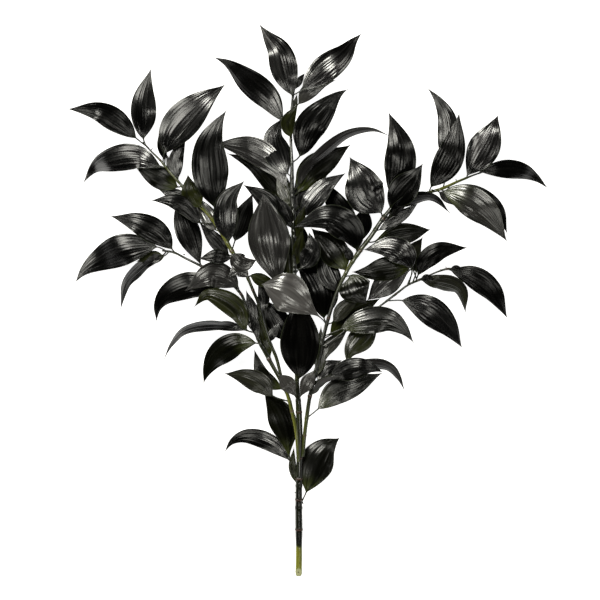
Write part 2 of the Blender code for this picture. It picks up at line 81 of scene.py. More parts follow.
PHOTO_MIDDLE = (300.0, 300.0)
PHOTO_SIDE = 600.0
BODY = "root"
SURFACE_UP = Vector((0.0, 0.0, 1.0))
GRAIN_LAYER = "grain"
TONE_LAYER = "tone"
STALK_LAYER = "stalk"
SHEEN_LAYER = "sheen"
ROUND_LAYER = "round"
TINT_LAYER = "tint"
MARK_LAYER = "mark"
RISE_LAYER = "rise"
MERGE_DISTANCE = 0.001 * MM
CREASE_ANGLE = math.radians(50.0)
WHITE = (1.0, 1.0, 1.0, 1.0)

log = logging.getLogger("ruscus_stem")


class Tone(Enum):
    """A leaf's colouring, as shares of olive all over, of pale painted sheen and of a green base.
    """

    BLACK = (0.0, 0.0, 0.0)
    # GREY, PALE and SILVER paint a pale sheen of reflected light into the leaf's colour.
    GREY = (0.0, 0.12, 0.0)
    PALE = (0.1, 0.28, 0.1)
    SILVER = (0.0, 0.56, 0.1)
    OLIVE = (0.8, 0.0, 0.3)
    OLIVE_BASE = (0.1, 0.0, 0.55)
    GREEN_BASE = (0.1, 0.1, 1.0)
    BROWN = (0.4, 0.06, 0.0)


class Sheen(Enum):
    """How strongly a leaf shines, with 1 for the reflection of a plain smooth surface."""

    DULL = 0.2
    PLAIN = 0.55
    GLOSSY = 1.4


@dataclass(frozen=True)
class Leaf:
    """One leaf as drawn on the sheet.

    Attributes:
        midrib: Points (x, y, height) from the blade's base to its tip.
        width: The blade's greatest width.
        roll: Degrees by which the left edge, seen from above and from base to tip, is lifted.
        fold: How far both edges stand over the midrib, as a share of the half width.
        foot: Where the stalk leaves the stem, if that isn't straight below the base.
        widest: Where the blade is widest, as a share of its length.
    """

    midrib: tuple
    width: float
    roll: float = 0.0
    fold: float = -0.16
    foot: tuple = ()
    widest: float = 0.4


@dataclass(frozen=True)
class StemPlan:
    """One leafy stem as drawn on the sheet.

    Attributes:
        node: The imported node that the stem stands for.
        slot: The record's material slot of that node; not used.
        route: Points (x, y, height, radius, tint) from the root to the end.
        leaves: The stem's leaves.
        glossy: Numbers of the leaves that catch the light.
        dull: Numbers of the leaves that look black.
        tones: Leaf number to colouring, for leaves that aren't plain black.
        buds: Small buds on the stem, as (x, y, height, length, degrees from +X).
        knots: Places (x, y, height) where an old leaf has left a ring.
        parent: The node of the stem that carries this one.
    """

    node: str
    slot: str
    route: tuple
    leaves: tuple
    glossy: tuple
    dull: tuple
    tones: dict
    buds: tuple = ()
    knots: tuple = ()
    parent: str = ""

    def sheen(self, number: int) -> Sheen:
        """Tell how strongly a leaf shines.

        Args:
            number: The leaf's number, from 1.

        Returns:
            Its sheen.
        """
        if number in self.glossy:
            return Sheen.GLOSSY
        return Sheen.DULL if number in self.dull else Sheen.PLAIN


# Leaves of the main stem, from the top down

TOP_LEAVES = (
    Leaf(
        ((292, 95, 42), (286, 74, 50), (279.5, 52, 51), (268.5, 37, 48), (259, 24, 44)),
        28, roll=8,
    ),
    Leaf(
        ((283, 121, 43), (269, 99, 40), (246, 79, 24), (227, 62.5, 6), (213, 56, 0)), 27, roll=-8,
    ),
    Leaf(((290.5, 137, 44), (288.5, 122, 49), (298, 105, 50)), 15, roll=15),
    Leaf(
        ((302, 90, 42), (322, 71.5, 47), (342, 55.5, 45), (353, 42, 40), (362, 33, 36)),
        28, roll=-6,
    ),
    Leaf(((296, 88, 40), (300, 80, 40), (305, 73, 38)), 7),
    Leaf(((298.5, 104, 40), (308, 92, 35), (320, 84, 31), (336, 80, 26)), 16),
    Leaf(
        ((299.5, 156.5, 44), (309.5, 128.5, 53), (326, 108.5, 57), (339, 95, 54), (348, 89.5, 52)),
        31, roll=10,
    ),
    Leaf(((288, 174, 43), (277, 152, 37), (274, 135, 31), (283, 117, 26)), 27),
    Leaf(
        ((289, 189, 43), (274, 165, 38), (251, 149, 30), (214, 143, 20)), 27, roll=-8, widest=0.5,
    ),
    Leaf(((290, 212, 43), (278, 186.5, 32), (257, 165.5, 20), (227, 153, 8)), 26, roll=-8),
    Leaf(((292, 228, 47), (284, 210, 52), (275, 194, 54)), 14),
    Leaf(((285, 222, 46), (265, 199, 42), (243, 184.5, 38)), 20),
    Leaf(((291, 205, 44), (284, 190, 42), (277, 172, 38)), 15),
    Leaf(((295, 238, 46), (300, 222, 49), (305, 205, 50)), 11),
    Leaf(((293, 110, 40), (295.5, 102, 41), (297, 94, 40)), 5),
    Leaf(((295, 222, 43), (297, 200, 41), (297, 172, 37)), 9),
)

CENTRE_LEAVES = (
    Leaf(
        ((282, 288, 50), (274, 264, 58), (268, 232, 67), (263.5, 193, 74)),
        42, fold=-0.22, widest=0.52,
    ),
    Leaf(
        ((297, 187, 46), (306, 168, 53), (328, 149, 56), (350, 135, 57), (372, 130.5, 55),
         (391, 136.5, 46)),
        18, roll=55,
    ),
    Leaf(((298, 192, 45), (311, 172, 45), (331, 158, 41), (351, 144.5, 33)), 28, roll=10),
    Leaf(((298, 208, 46), (310, 191, 42), (327, 176, 37)), 16),
    Leaf(((300, 217, 47), (311, 203, 51), (325, 187, 51), (346, 173, 45)), 21),
    Leaf(((301, 268, 49), (312, 250, 56), (309, 232, 58)), 20, fold=0.25),
    Leaf(((298, 270, 43), (300, 245, 36), (296, 214, 33)), 22),
    Leaf(((299, 378, 44), (300, 345, 50), (299, 318, 51), (296, 292, 50)), 40),
    Leaf(((296, 397, 43), (290, 387, 47), (279, 374, 48)), 16, widest=0.55),
    Leaf(((300, 397, 43), (306, 385, 50), (314, 370, 54)), 14, widest=0.55),
    Leaf(((290, 340, 43), (277, 320, 36), (263, 298, 31)), 25),
    Leaf(((296, 265, 46), (299, 247, 50), (303, 229, 52)), 12),
    Leaf(((292, 282, 44), (289, 258, 44), (290, 234, 42)), 16),
)

LOWER_LEAVES = (
    Leaf(
        ((289, 460, 25), (270, 443, 21), (246, 436.5, 13), (232, 442, 7), (224, 453, 3)),
        18, foot=(298, 478),
    ),
    Leaf(
        ((290, 459, 26), (286, 432, 29), (278, 411, 29), (264, 393, 27)),
        28, foot=(298, 480), widest=0.55,
    ),
    Leaf(
        ((306, 493, 20), (315, 466, 22), (325, 449.5, 20), (340, 438, 14)),
        35, foot=(300, 508), widest=0.46,
    ),
    Leaf(((296, 482, 22), (292.5, 466, 26), (294, 447, 30)), 8),
)

# Leaves of the upper left branch

LEFT_UPPER_LEAVES = (
    Leaf(((136, 138, 37), (118, 121.5, 44), (97, 111, 46), (67, 109, 40)), 24, roll=12),
    Leaf(((143.5, 139, 38), (143.5, 118, 47), (144.5, 96, 54), (151.5, 68.5, 56)), 26, roll=-8),
    Leaf(((161, 167, 40), (137, 157, 41), (108, 160.5, 25), (93, 168, 6), (82, 183, 0)), 27),
    Leaf(((178, 187, 41), (158, 176.5, 34), (132, 163, 27)), 23),
    Leaf(((188, 198, 42), (175, 195, 35), (158, 189, 30)), 13),
    Leaf(((201, 223, 44), (187, 207.5, 50), (172, 201, 52), (151, 200.5, 50)), 18),
    Leaf(((201, 207, 46), (191, 192, 51), (188, 174.5, 50)), 21),
    Leaf(((164, 154, 41), (176, 129, 50), (199, 105, 56), (226, 84.5, 50)), 36, roll=-8),
    Leaf(((165, 160, 39), (161.5, 145, 42), (160, 129, 43)), 9),
    Leaf(((178, 178, 41), (176, 160, 38), (186, 137, 36)), 15),
    Leaf(((177, 180, 41), (171, 168, 39), (166, 153, 37)), 8),
    Leaf(((216, 230, 43), (207, 214, 38), (196, 196, 34)), 17),
    Leaf(((229, 255, 45), (215, 240, 40), (199, 222, 36)), 15),
    Leaf(
        ((215, 208, 47), (211.5, 178, 62), (210, 146, 69), (217, 127, 70), (227, 110.5, 68)),
        37, roll=5,
    ),
    Leaf(((229, 241, 48), (226, 220, 52), (228, 200, 57), (245, 180.5, 58)), 25),
    Leaf(((235, 241, 48), (243, 218, 50), (253, 193, 50)), 21),
    Leaf(((231, 258, 48), (215, 256.5, 52), (199, 259, 52)), 15),
    Leaf(((232, 254, 49), (243, 264, 52), (257, 260, 51)), 18, fold=0.3),
    Leaf(((248, 277, 49), (238, 270, 52), (228, 278, 52)), 13),
    Leaf(((250, 276, 49), (264, 281, 49), (279, 285.5, 46)), 13),
    Leaf(((268, 343, 46), (273, 333, 50), (281, 321, 50)), 9),
    Leaf(((262, 313, 46), (263.5, 297, 44), (258, 280, 43)), 12),
)

# Leaves of the left lower branch and its twig

LEFT_LOWER_LEAVES = (
    Leaf(((172, 249, 36), (159, 234, 42), (137, 222.5, 44), (110, 216, 40)), 26, roll=6),
    Leaf(((157, 247, 34), (127, 248.5, 28), (98, 260.5, 8), (83, 271, 2), (74, 283, -2)), 32),
    Leaf(((163, 255, 32), (146, 262, 28), (126.5, 280, 20), (120, 310, 12)), 20, roll=50),
    Leaf(((164, 256, 32), (150, 257.5, 27), (136, 261.5, 23)), 13),
    Leaf(((201, 265, 34), (191.5, 241, 27), (182.5, 217, 22), (177, 196, 20)), 25, widest=0.5),
    Leaf(((238, 287, 42), (214, 274, 51), (185, 291, 51)), 26, roll=6),
    Leaf(
        ((217, 288, 37), (190, 285, 33), (167, 294.5, 24), (157.5, 307, 16), (156, 322, 10)),
        27, widest=0.36,
    ),
    Leaf(((247, 330, 41), (238, 311, 46), (223, 299.5, 47), (207, 295, 45), (194, 307, 38)), 22),
    Leaf(
        ((245, 330, 38), (215, 323.5, 36), (183.5, 331.5, 28), (170.5, 344.5, 19),
         (163.5, 360, 12)),
        18, roll=55,
    ),
    Leaf(
        ((256, 343, 39), (237, 343.5, 37), (217.5, 355.5, 25), (207.5, 370, 13), (203, 384, 4)),
        26,
    ),
    Leaf(((273, 396, 36), (262, 385, 33), (245, 377, 28), (224, 373.5, 22)), 21),
    Leaf(((282, 389, 38), (263, 376, 27), (254, 349, 20)), 15),
    Leaf(((258, 338, 42), (254, 322, 46), (249, 308, 47)), 9),
    Leaf(((261, 342, 38), (262, 326, 27), (257, 300, 21)), 16),
    Leaf(((270, 356, 40), (264, 336, 43), (258, 314, 43)), 11),
    Leaf(((252, 330, 37), (252, 310, 33), (246, 290, 30)), 13),
)

# Leaves of the right branch, from the lowest up

RIGHT_LOWER_LEAVES = (
    Leaf(((318, 409, 36), (336, 392.5, 33), (357, 384, 26), (383, 373, 12)), 26, foot=(307, 418)),
    Leaf(((312, 394, 40), (324, 381.5, 45), (342, 377, 43)), 11, roll=55),
    Leaf(((318, 382, 40), (326, 370, 37), (342, 360, 33)), 18),
    Leaf(((330, 377, 42), (351, 369, 46), (368, 367, 46), (383, 372, 40)), 22),
    Leaf(
        ((345, 368, 38), (366, 364, 36), (388, 368, 28), (398.5, 378, 18), (405, 391, 10)),
        16, roll=45,
    ),
    Leaf(((344, 367, 40), (351, 350, 36), (378, 323, 30)), 25, widest=0.6),
    Leaf(((320, 369, 41), (326, 350, 38), (347, 331, 34)), 14, widest=0.55),
    Leaf(((318, 374, 41), (320, 352, 38), (321, 326, 35)), 13),
    Leaf(((341, 329, 46), (364, 321.5, 51), (388, 320, 47), (403, 329, 41), (414, 343, 35)), 27),
    Leaf(((330, 335, 42), (350, 316, 31), (381, 298, 18)), 22),
    Leaf(((333, 322, 46), (345, 307, 45), (362, 297, 44)), 15),
    Leaf(((349, 276, 49), (356, 290, 54), (366, 304, 52)), 33),
)

RIGHT_MIDDLE_LEAVES = (
    Leaf(
        ((323, 320, 50), (305, 306, 66), (285, 291.5, 72), (262, 284, 66)),
        40, fold=-0.2, widest=0.64,
    ),
    Leaf(((324, 318, 43), (322, 290, 32), (308, 268, 26), (288, 253, 21)), 33),
    Leaf(((338, 292, 46), (328, 272, 40), (320, 245, 37)), 22),
    Leaf(((345, 270, 47), (332, 249, 41), (311, 228, 36)), 29),
    Leaf(((357, 250, 51), (350, 231, 66), (328, 218, 72), (293, 228, 66)), 31),
    Leaf(((355, 245, 45), (338, 207, 29), (317, 175, 20)), 25),
    Leaf(((352, 261, 49), (348.5, 254, 53), (345, 244, 54)), 9),
    Leaf(((359, 246, 46), (361.5, 228, 40), (366, 206, 32)), 20, widest=0.55),
    Leaf(((373, 242, 47), (392, 236, 44), (412, 232.5, 38), (431, 229.5, 32)), 22, widest=0.5),
    Leaf(
        ((381, 213, 47), (366, 194, 56), (359.5, 177, 58), (354, 165.5, 56), (349.5, 157, 52)), 40,
    ),
    Leaf(((380, 211, 46), (366, 208, 48), (352, 210, 46)), 7),
    Leaf(((379, 230, 47), (392, 221, 46), (405, 213.5, 42), (419, 202, 38)), 13),
)

RIGHT_UPPER_LEAVES = (
    Leaf(
        ((391, 195, 46), (399, 172, 56), (400, 149, 61), (394.5, 128, 61), (388, 112, 60)),
        32, roll=5,
    ),
    Leaf(((390, 207, 47), (402, 191, 58), (413, 178, 66), (422.5, 164, 68)), 29, roll=-8),
    Leaf(((447, 172, 42), (448.5, 145, 38), (446.8, 118, 33), (438, 100, 29), (427, 87, 26)), 22),
    Leaf(((431, 187, 43), (446, 165.5, 52), (454, 145, 57), (459, 113, 55)), 29, roll=8),
    Leaf(
        ((467, 176, 40), (479.5, 155, 48), (489.5, 136, 50), (498, 115, 46)),
        32, roll=-8, widest=0.46,
    ),
    Leaf(
        ((480, 172, 38), (500, 169, 33), (522, 170.5, 17), (537, 177.5, 4), (549.5, 188.5, -1)),
        19,
    ),
    Leaf(((443, 191, 42), (465, 198.5, 46), (487, 214, 42), (507.5, 241.5, 27)), 31),
    Leaf(((448, 188, 40), (476, 196, 37), (497, 210, 31), (508, 234, 18)), 21),
    Leaf(((388, 217, 46), (405, 203, 50), (430, 197.5, 48), (450, 213, 40)), 19, roll=52),
    Leaf(((439, 192, 41), (448, 199, 40), (457, 206, 38)), 9),
)

# Leaves of the side twig on the right

SIDE_TWIG_LEAVES = (
    Leaf(((416, 272, 40), (413, 254, 30), (423, 237, 21)), 19),
    Leaf(
        ((412, 268, 48), (404, 254.5, 58), (388, 247.5, 60), (363, 250, 56)), 26, foot=(418, 281),
    ),
    Leaf(((411, 268, 42), (387, 268.5, 43), (369, 272, 42), (352, 272, 40)), 24, foot=(410, 285)),
    Leaf(((412, 270, 41), (390, 281, 39), (367, 300.5, 36)), 24, foot=(408, 286), widest=0.52),
    Leaf(((418, 275, 40), (425.5, 261, 44), (439.5, 251, 46), (468, 247.5, 40)), 20),
    Leaf(((451, 270, 36), (473, 276.5, 33), (492.5, 291, 20), (508.5, 319, -1)), 24),
    Leaf(((450, 270, 37), (456, 267, 38), (463, 269, 37)), 4),
    Leaf(((422, 280, 38), (443, 283, 36), (460, 290.5, 30), (466, 313, 18)), 20, roll=35),
    Leaf(((421, 280, 39), (427, 277, 41), (434, 280, 40)), 6),
    Leaf(
        ((402, 300.5, 38), (425, 307.5, 34), (447, 325, 21), (463, 348.5, 3)), 29, foot=(386, 300),
    ),
)

# The five leafy stems

MAIN_STEM = StemPlan(
    node="main_stem",
    slot="main_foliage",
    route=(
        (298.5, 584, 2.0, 3.3, 1.0), (299, 558, 4.8, 3.25, 0.85), (299, 548, 6, 3.2, 0.7),
        (299, 544, 7, 3.3, 0.1), (299, 530, 10, 3.7, 0.06), (298.8, 500, 17, 3.5, 0.05),
        (299.5, 458, 27, 2.9, 0.12), (300, 432, 32, 2.7, 0.1), (299, 412, 36, 3.0, 0.25),
        (298, 395, 39, 2.4, 0.1), (297, 380, 41, 2.1, 0.3), (296, 340, 44, 2.0, 0.2),
        (295, 300, 46, 2.0, 0.1), (294, 250, 46, 2.2, 0.1), (293, 215, 46, 2.4, 0.1),
        (292, 190, 45, 2.3, 0.0), (292, 165, 44, 1.7, 0.05), (291, 140, 42, 1.4, 0.1),
        (292, 105, 40, 1.2, 0.0), (295, 84, 41, 0.9, 0.0),
    ),
    leaves=TOP_LEAVES + CENTRE_LEAVES + LOWER_LEAVES,
    glossy=(1, 4, 6, 8, 9, 17, 21, 22, 26),
    dull=(3, 5, 10, 12, 14, 15, 16, 19, 20, 23, 24, 27, 28, 29, 31),
    tones={
        3: Tone.OLIVE, 6: Tone.PALE, 9: Tone.GREY, 10: Tone.OLIVE_BASE, 13: Tone.OLIVE,
        14: Tone.OLIVE, 15: Tone.BROWN, 17: Tone.GREY, 18: Tone.GREY, 19: Tone.OLIVE_BASE,
        25: Tone.PALE, 26: Tone.PALE, 28: Tone.OLIVE, 29: Tone.OLIVE,
        31: Tone.OLIVE_BASE, 32: Tone.OLIVE_BASE, 33: Tone.OLIVE,
    },
    buds=((295.2, 493, 19, 3.0, 150), (302.6, 503, 17, 4.0, -60), (294.8, 478, 23, 3.5, 120)),
    knots=((299, 530, 10), (299, 500, 17), (299.5, 478, 22), (299.8, 458, 27), (299, 412, 36)),
)

LEFT_LOWER_BRANCH = StemPlan(
    node="left_lower_branch",
    slot="left_lower_foliage",
    route=(
        (298, 462, 33, 1.8, 0.5), (296, 430, 37, 1.8, 0.65), (292, 411, 38.5, 1.9, 0.6),
        (287, 393, 40, 1.9, 0.6), (280, 379, 41, 1.9, 0.3), (269, 359, 41.5, 2.1, 0.2),
        (259, 340, 41, 2.1, 0.1), (253, 325, 40.5, 1.8, 0.2), (247.5, 310, 40, 1.7, 0.15),
        (241, 294, 39, 1.5, 0.1), (229, 282, 38, 1.4, 0.1), (216, 274.5, 37, 1.4, 0.1),
        (202, 266.5, 36, 1.3, 0.1), (185, 258, 35, 1.2, 0.15), (174, 252.5, 34, 1.1, 0.2),
        (162, 250.5, 33, 0.9, 0.1),
    ),
    leaves=LEFT_LOWER_LEAVES,
    glossy=(2, 13),
    dull=(4, 5, 11, 12, 14),
    tones={
        4: Tone.OLIVE, 6: Tone.GREY, 8: Tone.OLIVE, 10: Tone.OLIVE_BASE, 11: Tone.BROWN,
        12: Tone.OLIVE_BASE, 14: Tone.OLIVE, 15: Tone.OLIVE,
    },
    buds=((184, 254.5, 36, 3.2, 160), (243, 296, 40, 3.0, 40)),
    knots=((293, 411, 38.5), (270, 359, 41.5), (241, 294, 39), (202, 265, 36)),
    parent="main_stem",
)

LEFT_UPPER_BRANCH = StemPlan(
    node="left_upper_branch",
    slot="left_upper_foliage",
    route=(
        (284, 374, 43, 1.6, 0.3), (276.5, 358, 46, 1.7, 0.3), (269, 340, 47.5, 1.7, 0.2),
        (263.5, 322, 48, 1.6, 0.2), (259, 305, 48, 1.6, 0.1), (253, 290, 48, 1.6, 0.2),
        (246, 274, 48, 1.7, 0.3), (232, 251, 47, 2.1, 0.55), (220, 230, 46, 2.1, 0.62),
        (211, 217, 45, 2.0, 0.62), (199, 204, 43.5, 1.7, 0.55), (184, 188, 42, 1.5, 0.4),
        (170, 172, 40, 1.2, 0.5), (160, 160, 39, 1.1, 0.4), (150, 150, 38, 0.9, 0.15),
        (143, 142, 37.5, 0.8, 0.1),
    ),
    leaves=LEFT_UPPER_LEAVES,
    glossy=(2, 3, 5, 8, 12, 15, 19, 21),
    dull=(4, 7, 9, 13, 16, 20),
    tones={
        4: Tone.OLIVE_BASE, 7: Tone.OLIVE, 11: Tone.GREY, 12: Tone.PALE,
        18: Tone.GREY, 19: Tone.GREY, 20: Tone.OLIVE,
    },
    buds=((152, 149, 39, 3.2, 60), (215, 219, 47, 3.0, -40), (236, 254, 48, 2.8, 30)),
    knots=((253, 290, 48), (232, 251, 47), (211, 217, 45), (184, 188, 42), (160, 160, 39)),
    parent="left_lower_branch",
)

RIGHT_BRANCH = StemPlan(
    node="right_branch",
    slot="right_foliage",
    route=(
        (305, 457, 30, 1.9, 0.4), (304.5, 437, 33, 1.9, 0.5), (306.5, 420, 35, 2.0, 0.5),
        (310, 396, 38, 2.0, 0.15), (316, 370, 42, 1.9, 0.15), (321.5, 345, 44, 1.9, 0.1),
        (328.5, 318, 46, 1.8, 0.1), (338, 290, 48, 1.8, 0.2), (347.5, 270, 48.5, 1.9, 0.5),
        (360, 250.5, 48, 2.3, 0.4), (371.5, 235.5, 47, 2.2, 0.3), (383, 218.5, 46, 2.1, 0.15),
        (395, 205, 45, 1.8, 0.15), (408, 198.5, 44, 1.4, 0.2), (421, 194.5, 43, 1.3, 0.3),
        (441, 189, 42, 1.5, 0.62), (458, 181.5, 40, 1.3, 0.6), (474, 175, 39, 0.9, 0.15),
        (483, 172, 38, 0.8, 0.1),
    ),
    leaves=RIGHT_LOWER_LEAVES + RIGHT_MIDDLE_LEAVES + RIGHT_UPPER_LEAVES,
    glossy=(1, 3, 9, 13, 22, 24, 29, 31),
    dull=(5, 10, 11, 14, 15, 16, 18, 20, 21, 32, 33),
    tones={
        1: Tone.OLIVE_BASE, 2: Tone.PALE, 5: Tone.GREY, 6: Tone.OLIVE, 7: Tone.BROWN,
        8: Tone.OLIVE, 9: Tone.OLIVE_BASE, 10: Tone.OLIVE, 11: Tone.BROWN, 12: Tone.OLIVE_BASE,
        13: Tone.SILVER, 16: Tone.OLIVE_BASE, 21: Tone.OLIVE_BASE, 23: Tone.PALE,
        31: Tone.GREEN_BASE, 34: Tone.GREY,
    },
    buds=((433, 190.5, 44, 5.0, 150), (383, 215, 47, 3.0, 60), (456, 180, 41, 3.0, 100)),
    knots=((304.5, 435, 33), (309, 396, 38), (330, 318, 46), (358, 250, 48), (381, 218, 46),
           (421, 194.5, 43)),
    parent="main_stem",
)

RIGHT_SIDE_TWIG = StemPlan(
    node="right_side_twig",
    slot="right_twig_foliage",
    route=(
        (326, 347, 44, 1.0, 0.1), (334, 339, 43.5, 1.0, 0.1), (348, 328, 43, 1.0, 0.1),
        (360, 320, 42.5, 1.0, 0.1), (380, 306, 41, 1.0, 0.15), (396, 294, 40, 1.2, 0.2),
        (408, 285, 39, 1.0, 0.2), (419, 280, 38, 1.1, 0.2), (428, 276, 37, 0.9, 0.1),
        (437, 272, 36.5, 0.9, 0.2), (447, 269, 36, 1.1, 0.2), (454, 269, 36, 0.8, 0.1),
    ),
    leaves=SIDE_TWIG_LEAVES,
    glossy=(2, 4, 10),
    dull=(1, 3, 5, 7, 9),
    tones={1: Tone.BROWN, 3: Tone.OLIVE_BASE, 4: Tone.GREY, 8: Tone.BROWN},
    buds=((441, 269.8, 37.5, 3.0, 160), (446, 267.6, 37.5, 2.6, 100)),
    knots=((396, 294, 40), (419, 280, 38), (447, 269, 36)),
    parent="right_branch",
)

LEAFY_STEMS = (
    MAIN_STEM,
    LEFT_LOWER_BRANCH,
    LEFT_UPPER_BRANCH,
    RIGHT_BRANCH,
    RIGHT_SIDE_TWIG,
)


def place(x: float, y: float, height: float) -> Vector:
    """Return the model's point for a point of the sheet."""
    return Vector(((x - SHEET_MIDDLE[0]) * MM, (SHEET_MIDDLE[1] - y) * MM, height * MM))


def keep_in_box(point: Vector) -> Vector:
    """Return the point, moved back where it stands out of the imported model's box."""
    low, high = cad_box
    return Vector([min(max(value, low[i]), high[i]) for i, value in enumerate(point)])


class Course:
    """A smooth course through given points, read by the distance along it."""

    STEPS = 12
    NEAR = 0.5 * MM
    SHORTEST = 1e-9

    def __init__(self, points: list[Vector], values: list[tuple] | None = None) -> None:
        """Draw the course.

        Args:
            points: The points that the course passes through.
            values: Numbers that are blended along with the points, such as a radius.
        """
        values = values or [()] * len(points)
        self.marks = [(*point, *extra) for point, extra in zip(points, values)]
        self.samples: list[tuple] = []
        chain = [self._mirrored(1, 0), *self.marks, self._mirrored(-2, -1)]
        for index in range(len(self.marks) - 1):
            for step in range(self.STEPS):
                self.samples.append(self._between(chain[index:index + 4], step / self.STEPS))
        self.samples.append(self.marks[-1])
        self.reach = [0.0]
        for left, right in zip(self.samples, self.samples[1:]):
            self.reach.append(self.reach[-1] + math.dist(left[:3], right[:3]))
        self.length = self.reach[-1]

    def _mirrored(self, near: int, end: int) -> tuple:
        """Return a point past the end, as far out as its neighbour is in."""
        return tuple(2 * b - a for a, b in zip(self.marks[near], self.marks[end]))

    @staticmethod
    def _between(four: list[tuple], share: float) -> tuple:
        """Return a point between the middle two of four points.

        Args:
            four: The point before, the two points and the point after.
            share: How far along from the second to the third, from 0 to 1.

        Returns:
            The point on a centripetal curve through all four.
        """
        knots = [0.0]
        for left, right in zip(four, four[1:]):
            knots.append(knots[-1] + math.sqrt(math.dist(left[:3], right[:3])))
        here = knots[1] + share * (knots[2] - knots[1])

        def blend(left: tuple, right: tuple, low: int, high: int) -> tuple:
            """Return the place between two points that fits the knots low and high."""
            part = (here - knots[low]) / (knots[high] - knots[low])
            return tuple(a + (b - a) * part for a, b in zip(left, right))

        first = blend(blend(four[0], four[1], 0, 1), blend(four[1], four[2], 1, 2), 0, 2)
        second = blend(blend(four[1], four[2], 1, 2), blend(four[2], four[3], 2, 3), 1, 3)
        return blend(first, second, 1, 2)

    def at(self, distance: float) -> tuple[Vector, tuple]:
        """Read the course at one place.

        Args:
            distance: How far along the course, from its start.

        Returns:
            The point and the blended values there.
        """
        distance = min(max(distance, 0.0), self.length)
        for index, reach in enumerate(self.reach[1:]):
            if distance <= reach:
                span = max(reach - self.reach[index], self.SHORTEST)
                part = (distance - self.reach[index]) / span
                pair = zip(self.samples[index], self.samples[index + 1])
                here = [a + (b - a) * part for a, b in pair]
                return Vector(here[:3]), tuple(here[3:])
        return Vector(self.samples[-1][:3]), tuple(self.samples[-1][3:])

    def direction(self, distance: float) -> Vector:
        """Return the unit direction at a distance from the start."""
        ahead, behind = self.at(distance + self.NEAR)[0], self.at(distance - self.NEAR)[0]
        return (ahead - behind).normalized()

    def nearest(self, point: Vector) -> float:
        """Return the distance along the course that lies nearest to a point."""
        gaps = [math.dist(sample[:3], point) for sample in self.samples]
        return self.reach[gaps.index(min(gaps))]


class NodeSheet:
    """A material whose nodes are added one by one."""

    def __init__(self, name: str) -> None:
        """Start a plain material.

        Args:
            name: The material's name.
        """
        self.material = bpy.data.materials.new(name)
        self.material.use_nodes = True
        self.tree = self.material.node_tree
        self.shader = self.tree.nodes["Principled BSDF"]

    def feed(self, socket: bpy.types.NodeSocket, value: object) -> None:
        """Give a socket its value.

        Args:
            socket: The socket to fill.
            value: A socket to link to it, or a constant.
        """
        if isinstance(value, bpy.types.NodeSocket):
            self.tree.links.new(value, socket)
        else:
            socket.default_value = value

    def surface(self, **values: object) -> None:
        """Set the shader's sockets, named with underscores for spaces."""
        for name, value in values.items():
            title = name.replace("_", " ").title().replace("Ior", "IOR")
            self.feed(self.shader.inputs[title], value)

    def add(self, kind: str, *inputs: object, **settings: object) -> bpy.types.Node:
        """Add a node.

        Args:
            kind: The node's type, without the leading ShaderNode.
            inputs: Values or sockets for the node's inputs, in their order; None skips one.
            settings: The node's own properties.

        Returns:
            The node.
        """
        node = self.tree.nodes.new("ShaderNode" + kind)
        for name, value in settings.items():
            setattr(node, name, value)
        for socket, value in zip(node.inputs, inputs):
            if value is not None:
                self.feed(socket, value)
        return node

    def calc(self, operation: str, *values: object) -> bpy.types.NodeSocket:
        """Return the result of one sum, such as SINE, clamped nowhere."""
        return self.add("Math", *values, operation=operation).outputs[0]

    def times(self, first: object, second: object) -> bpy.types.NodeSocket:
        """Return the product of two values."""
        return self.calc("MULTIPLY", first, second)

    def plus(self, first: object, second: object) -> bpy.types.NodeSocket:
        """Return the sum of two values."""
        return self.calc("ADD", first, second)

    def spread(self, value: object, low: float, high: float, start: float = 0.0,
               end: float = 1.0) -> bpy.types.NodeSocket:
        """Return a value's smooth place between low and high, turned into start to end."""
        node = self.add("MapRange", value, low, high, start, end, interpolation_type="SMOOTHSTEP")
        return node.outputs[0]

    def colour(self, share: object, first: object, second: object) -> bpy.types.NodeSocket:
        """Mix two colours.

        Args:
            share: How much of the second colour, from 0 to 1.
            first: The first colour.
            second: The second colour.

        Returns:
            The mixed colour.
        """
        node = self.add("Mix", data_type="RGBA")
        self.feed(node.inputs["Factor"], share)
        self.feed(node.inputs["A"], first)
        self.feed(node.inputs["B"], second)
        return node.outputs["Result"]

    def split(self, name: str) -> list[bpy.types.NodeSocket]:
        """Return the three numbers of a vector attribute."""
        source = self.add("Attribute", attribute_name=name)
        return list(self.add("SeparateXYZ", source.outputs["Vector"]).outputs)

    def number(self, name: str) -> bpy.types.NodeSocket:
        """Return an attribute that is a single number."""
        return self.add("Attribute", attribute_name=name).outputs["Fac"]

    def vector(self, x: object, y: object, z: object) -> bpy.types.NodeSocket:
        """Return a vector of three numbers."""
        return self.add("CombineXYZ", x, y, z).outputs[0]

    def mottle(self, vector: object, scale: float, detail: float = 2.0) -> bpy.types.NodeSocket:
        """Add soft noise.

        Args:
            vector: The place at which the noise is read.
            scale: How many blotches there are per unit of the vector.
            detail: How many finer layers are added.

        Returns:
            The noise, from 0 to 1.
        """
        node = self.add("TexNoise", vector, noise_dimensions="3D")
        node.inputs["Scale"].default_value = scale
        node.inputs["Detail"].default_value = detail
        return node.outputs[0]

    def bump(self, height: object, strength: float, distance: float) -> None:
        """Raise the surface a little.

        Args:
            height: The height over the surface, as a number.
            strength: How much of it shows, from 0 to 1.
            distance: The real height of 1, in metres.
        """
        node = self.add("Bump")
        node.inputs["Strength"].default_value = strength
        node.inputs["Distance"].default_value = distance
        self.feed(node.inputs["Height"], height)
        self.feed(self.shader.inputs["Normal"], node.outputs["Normal"])


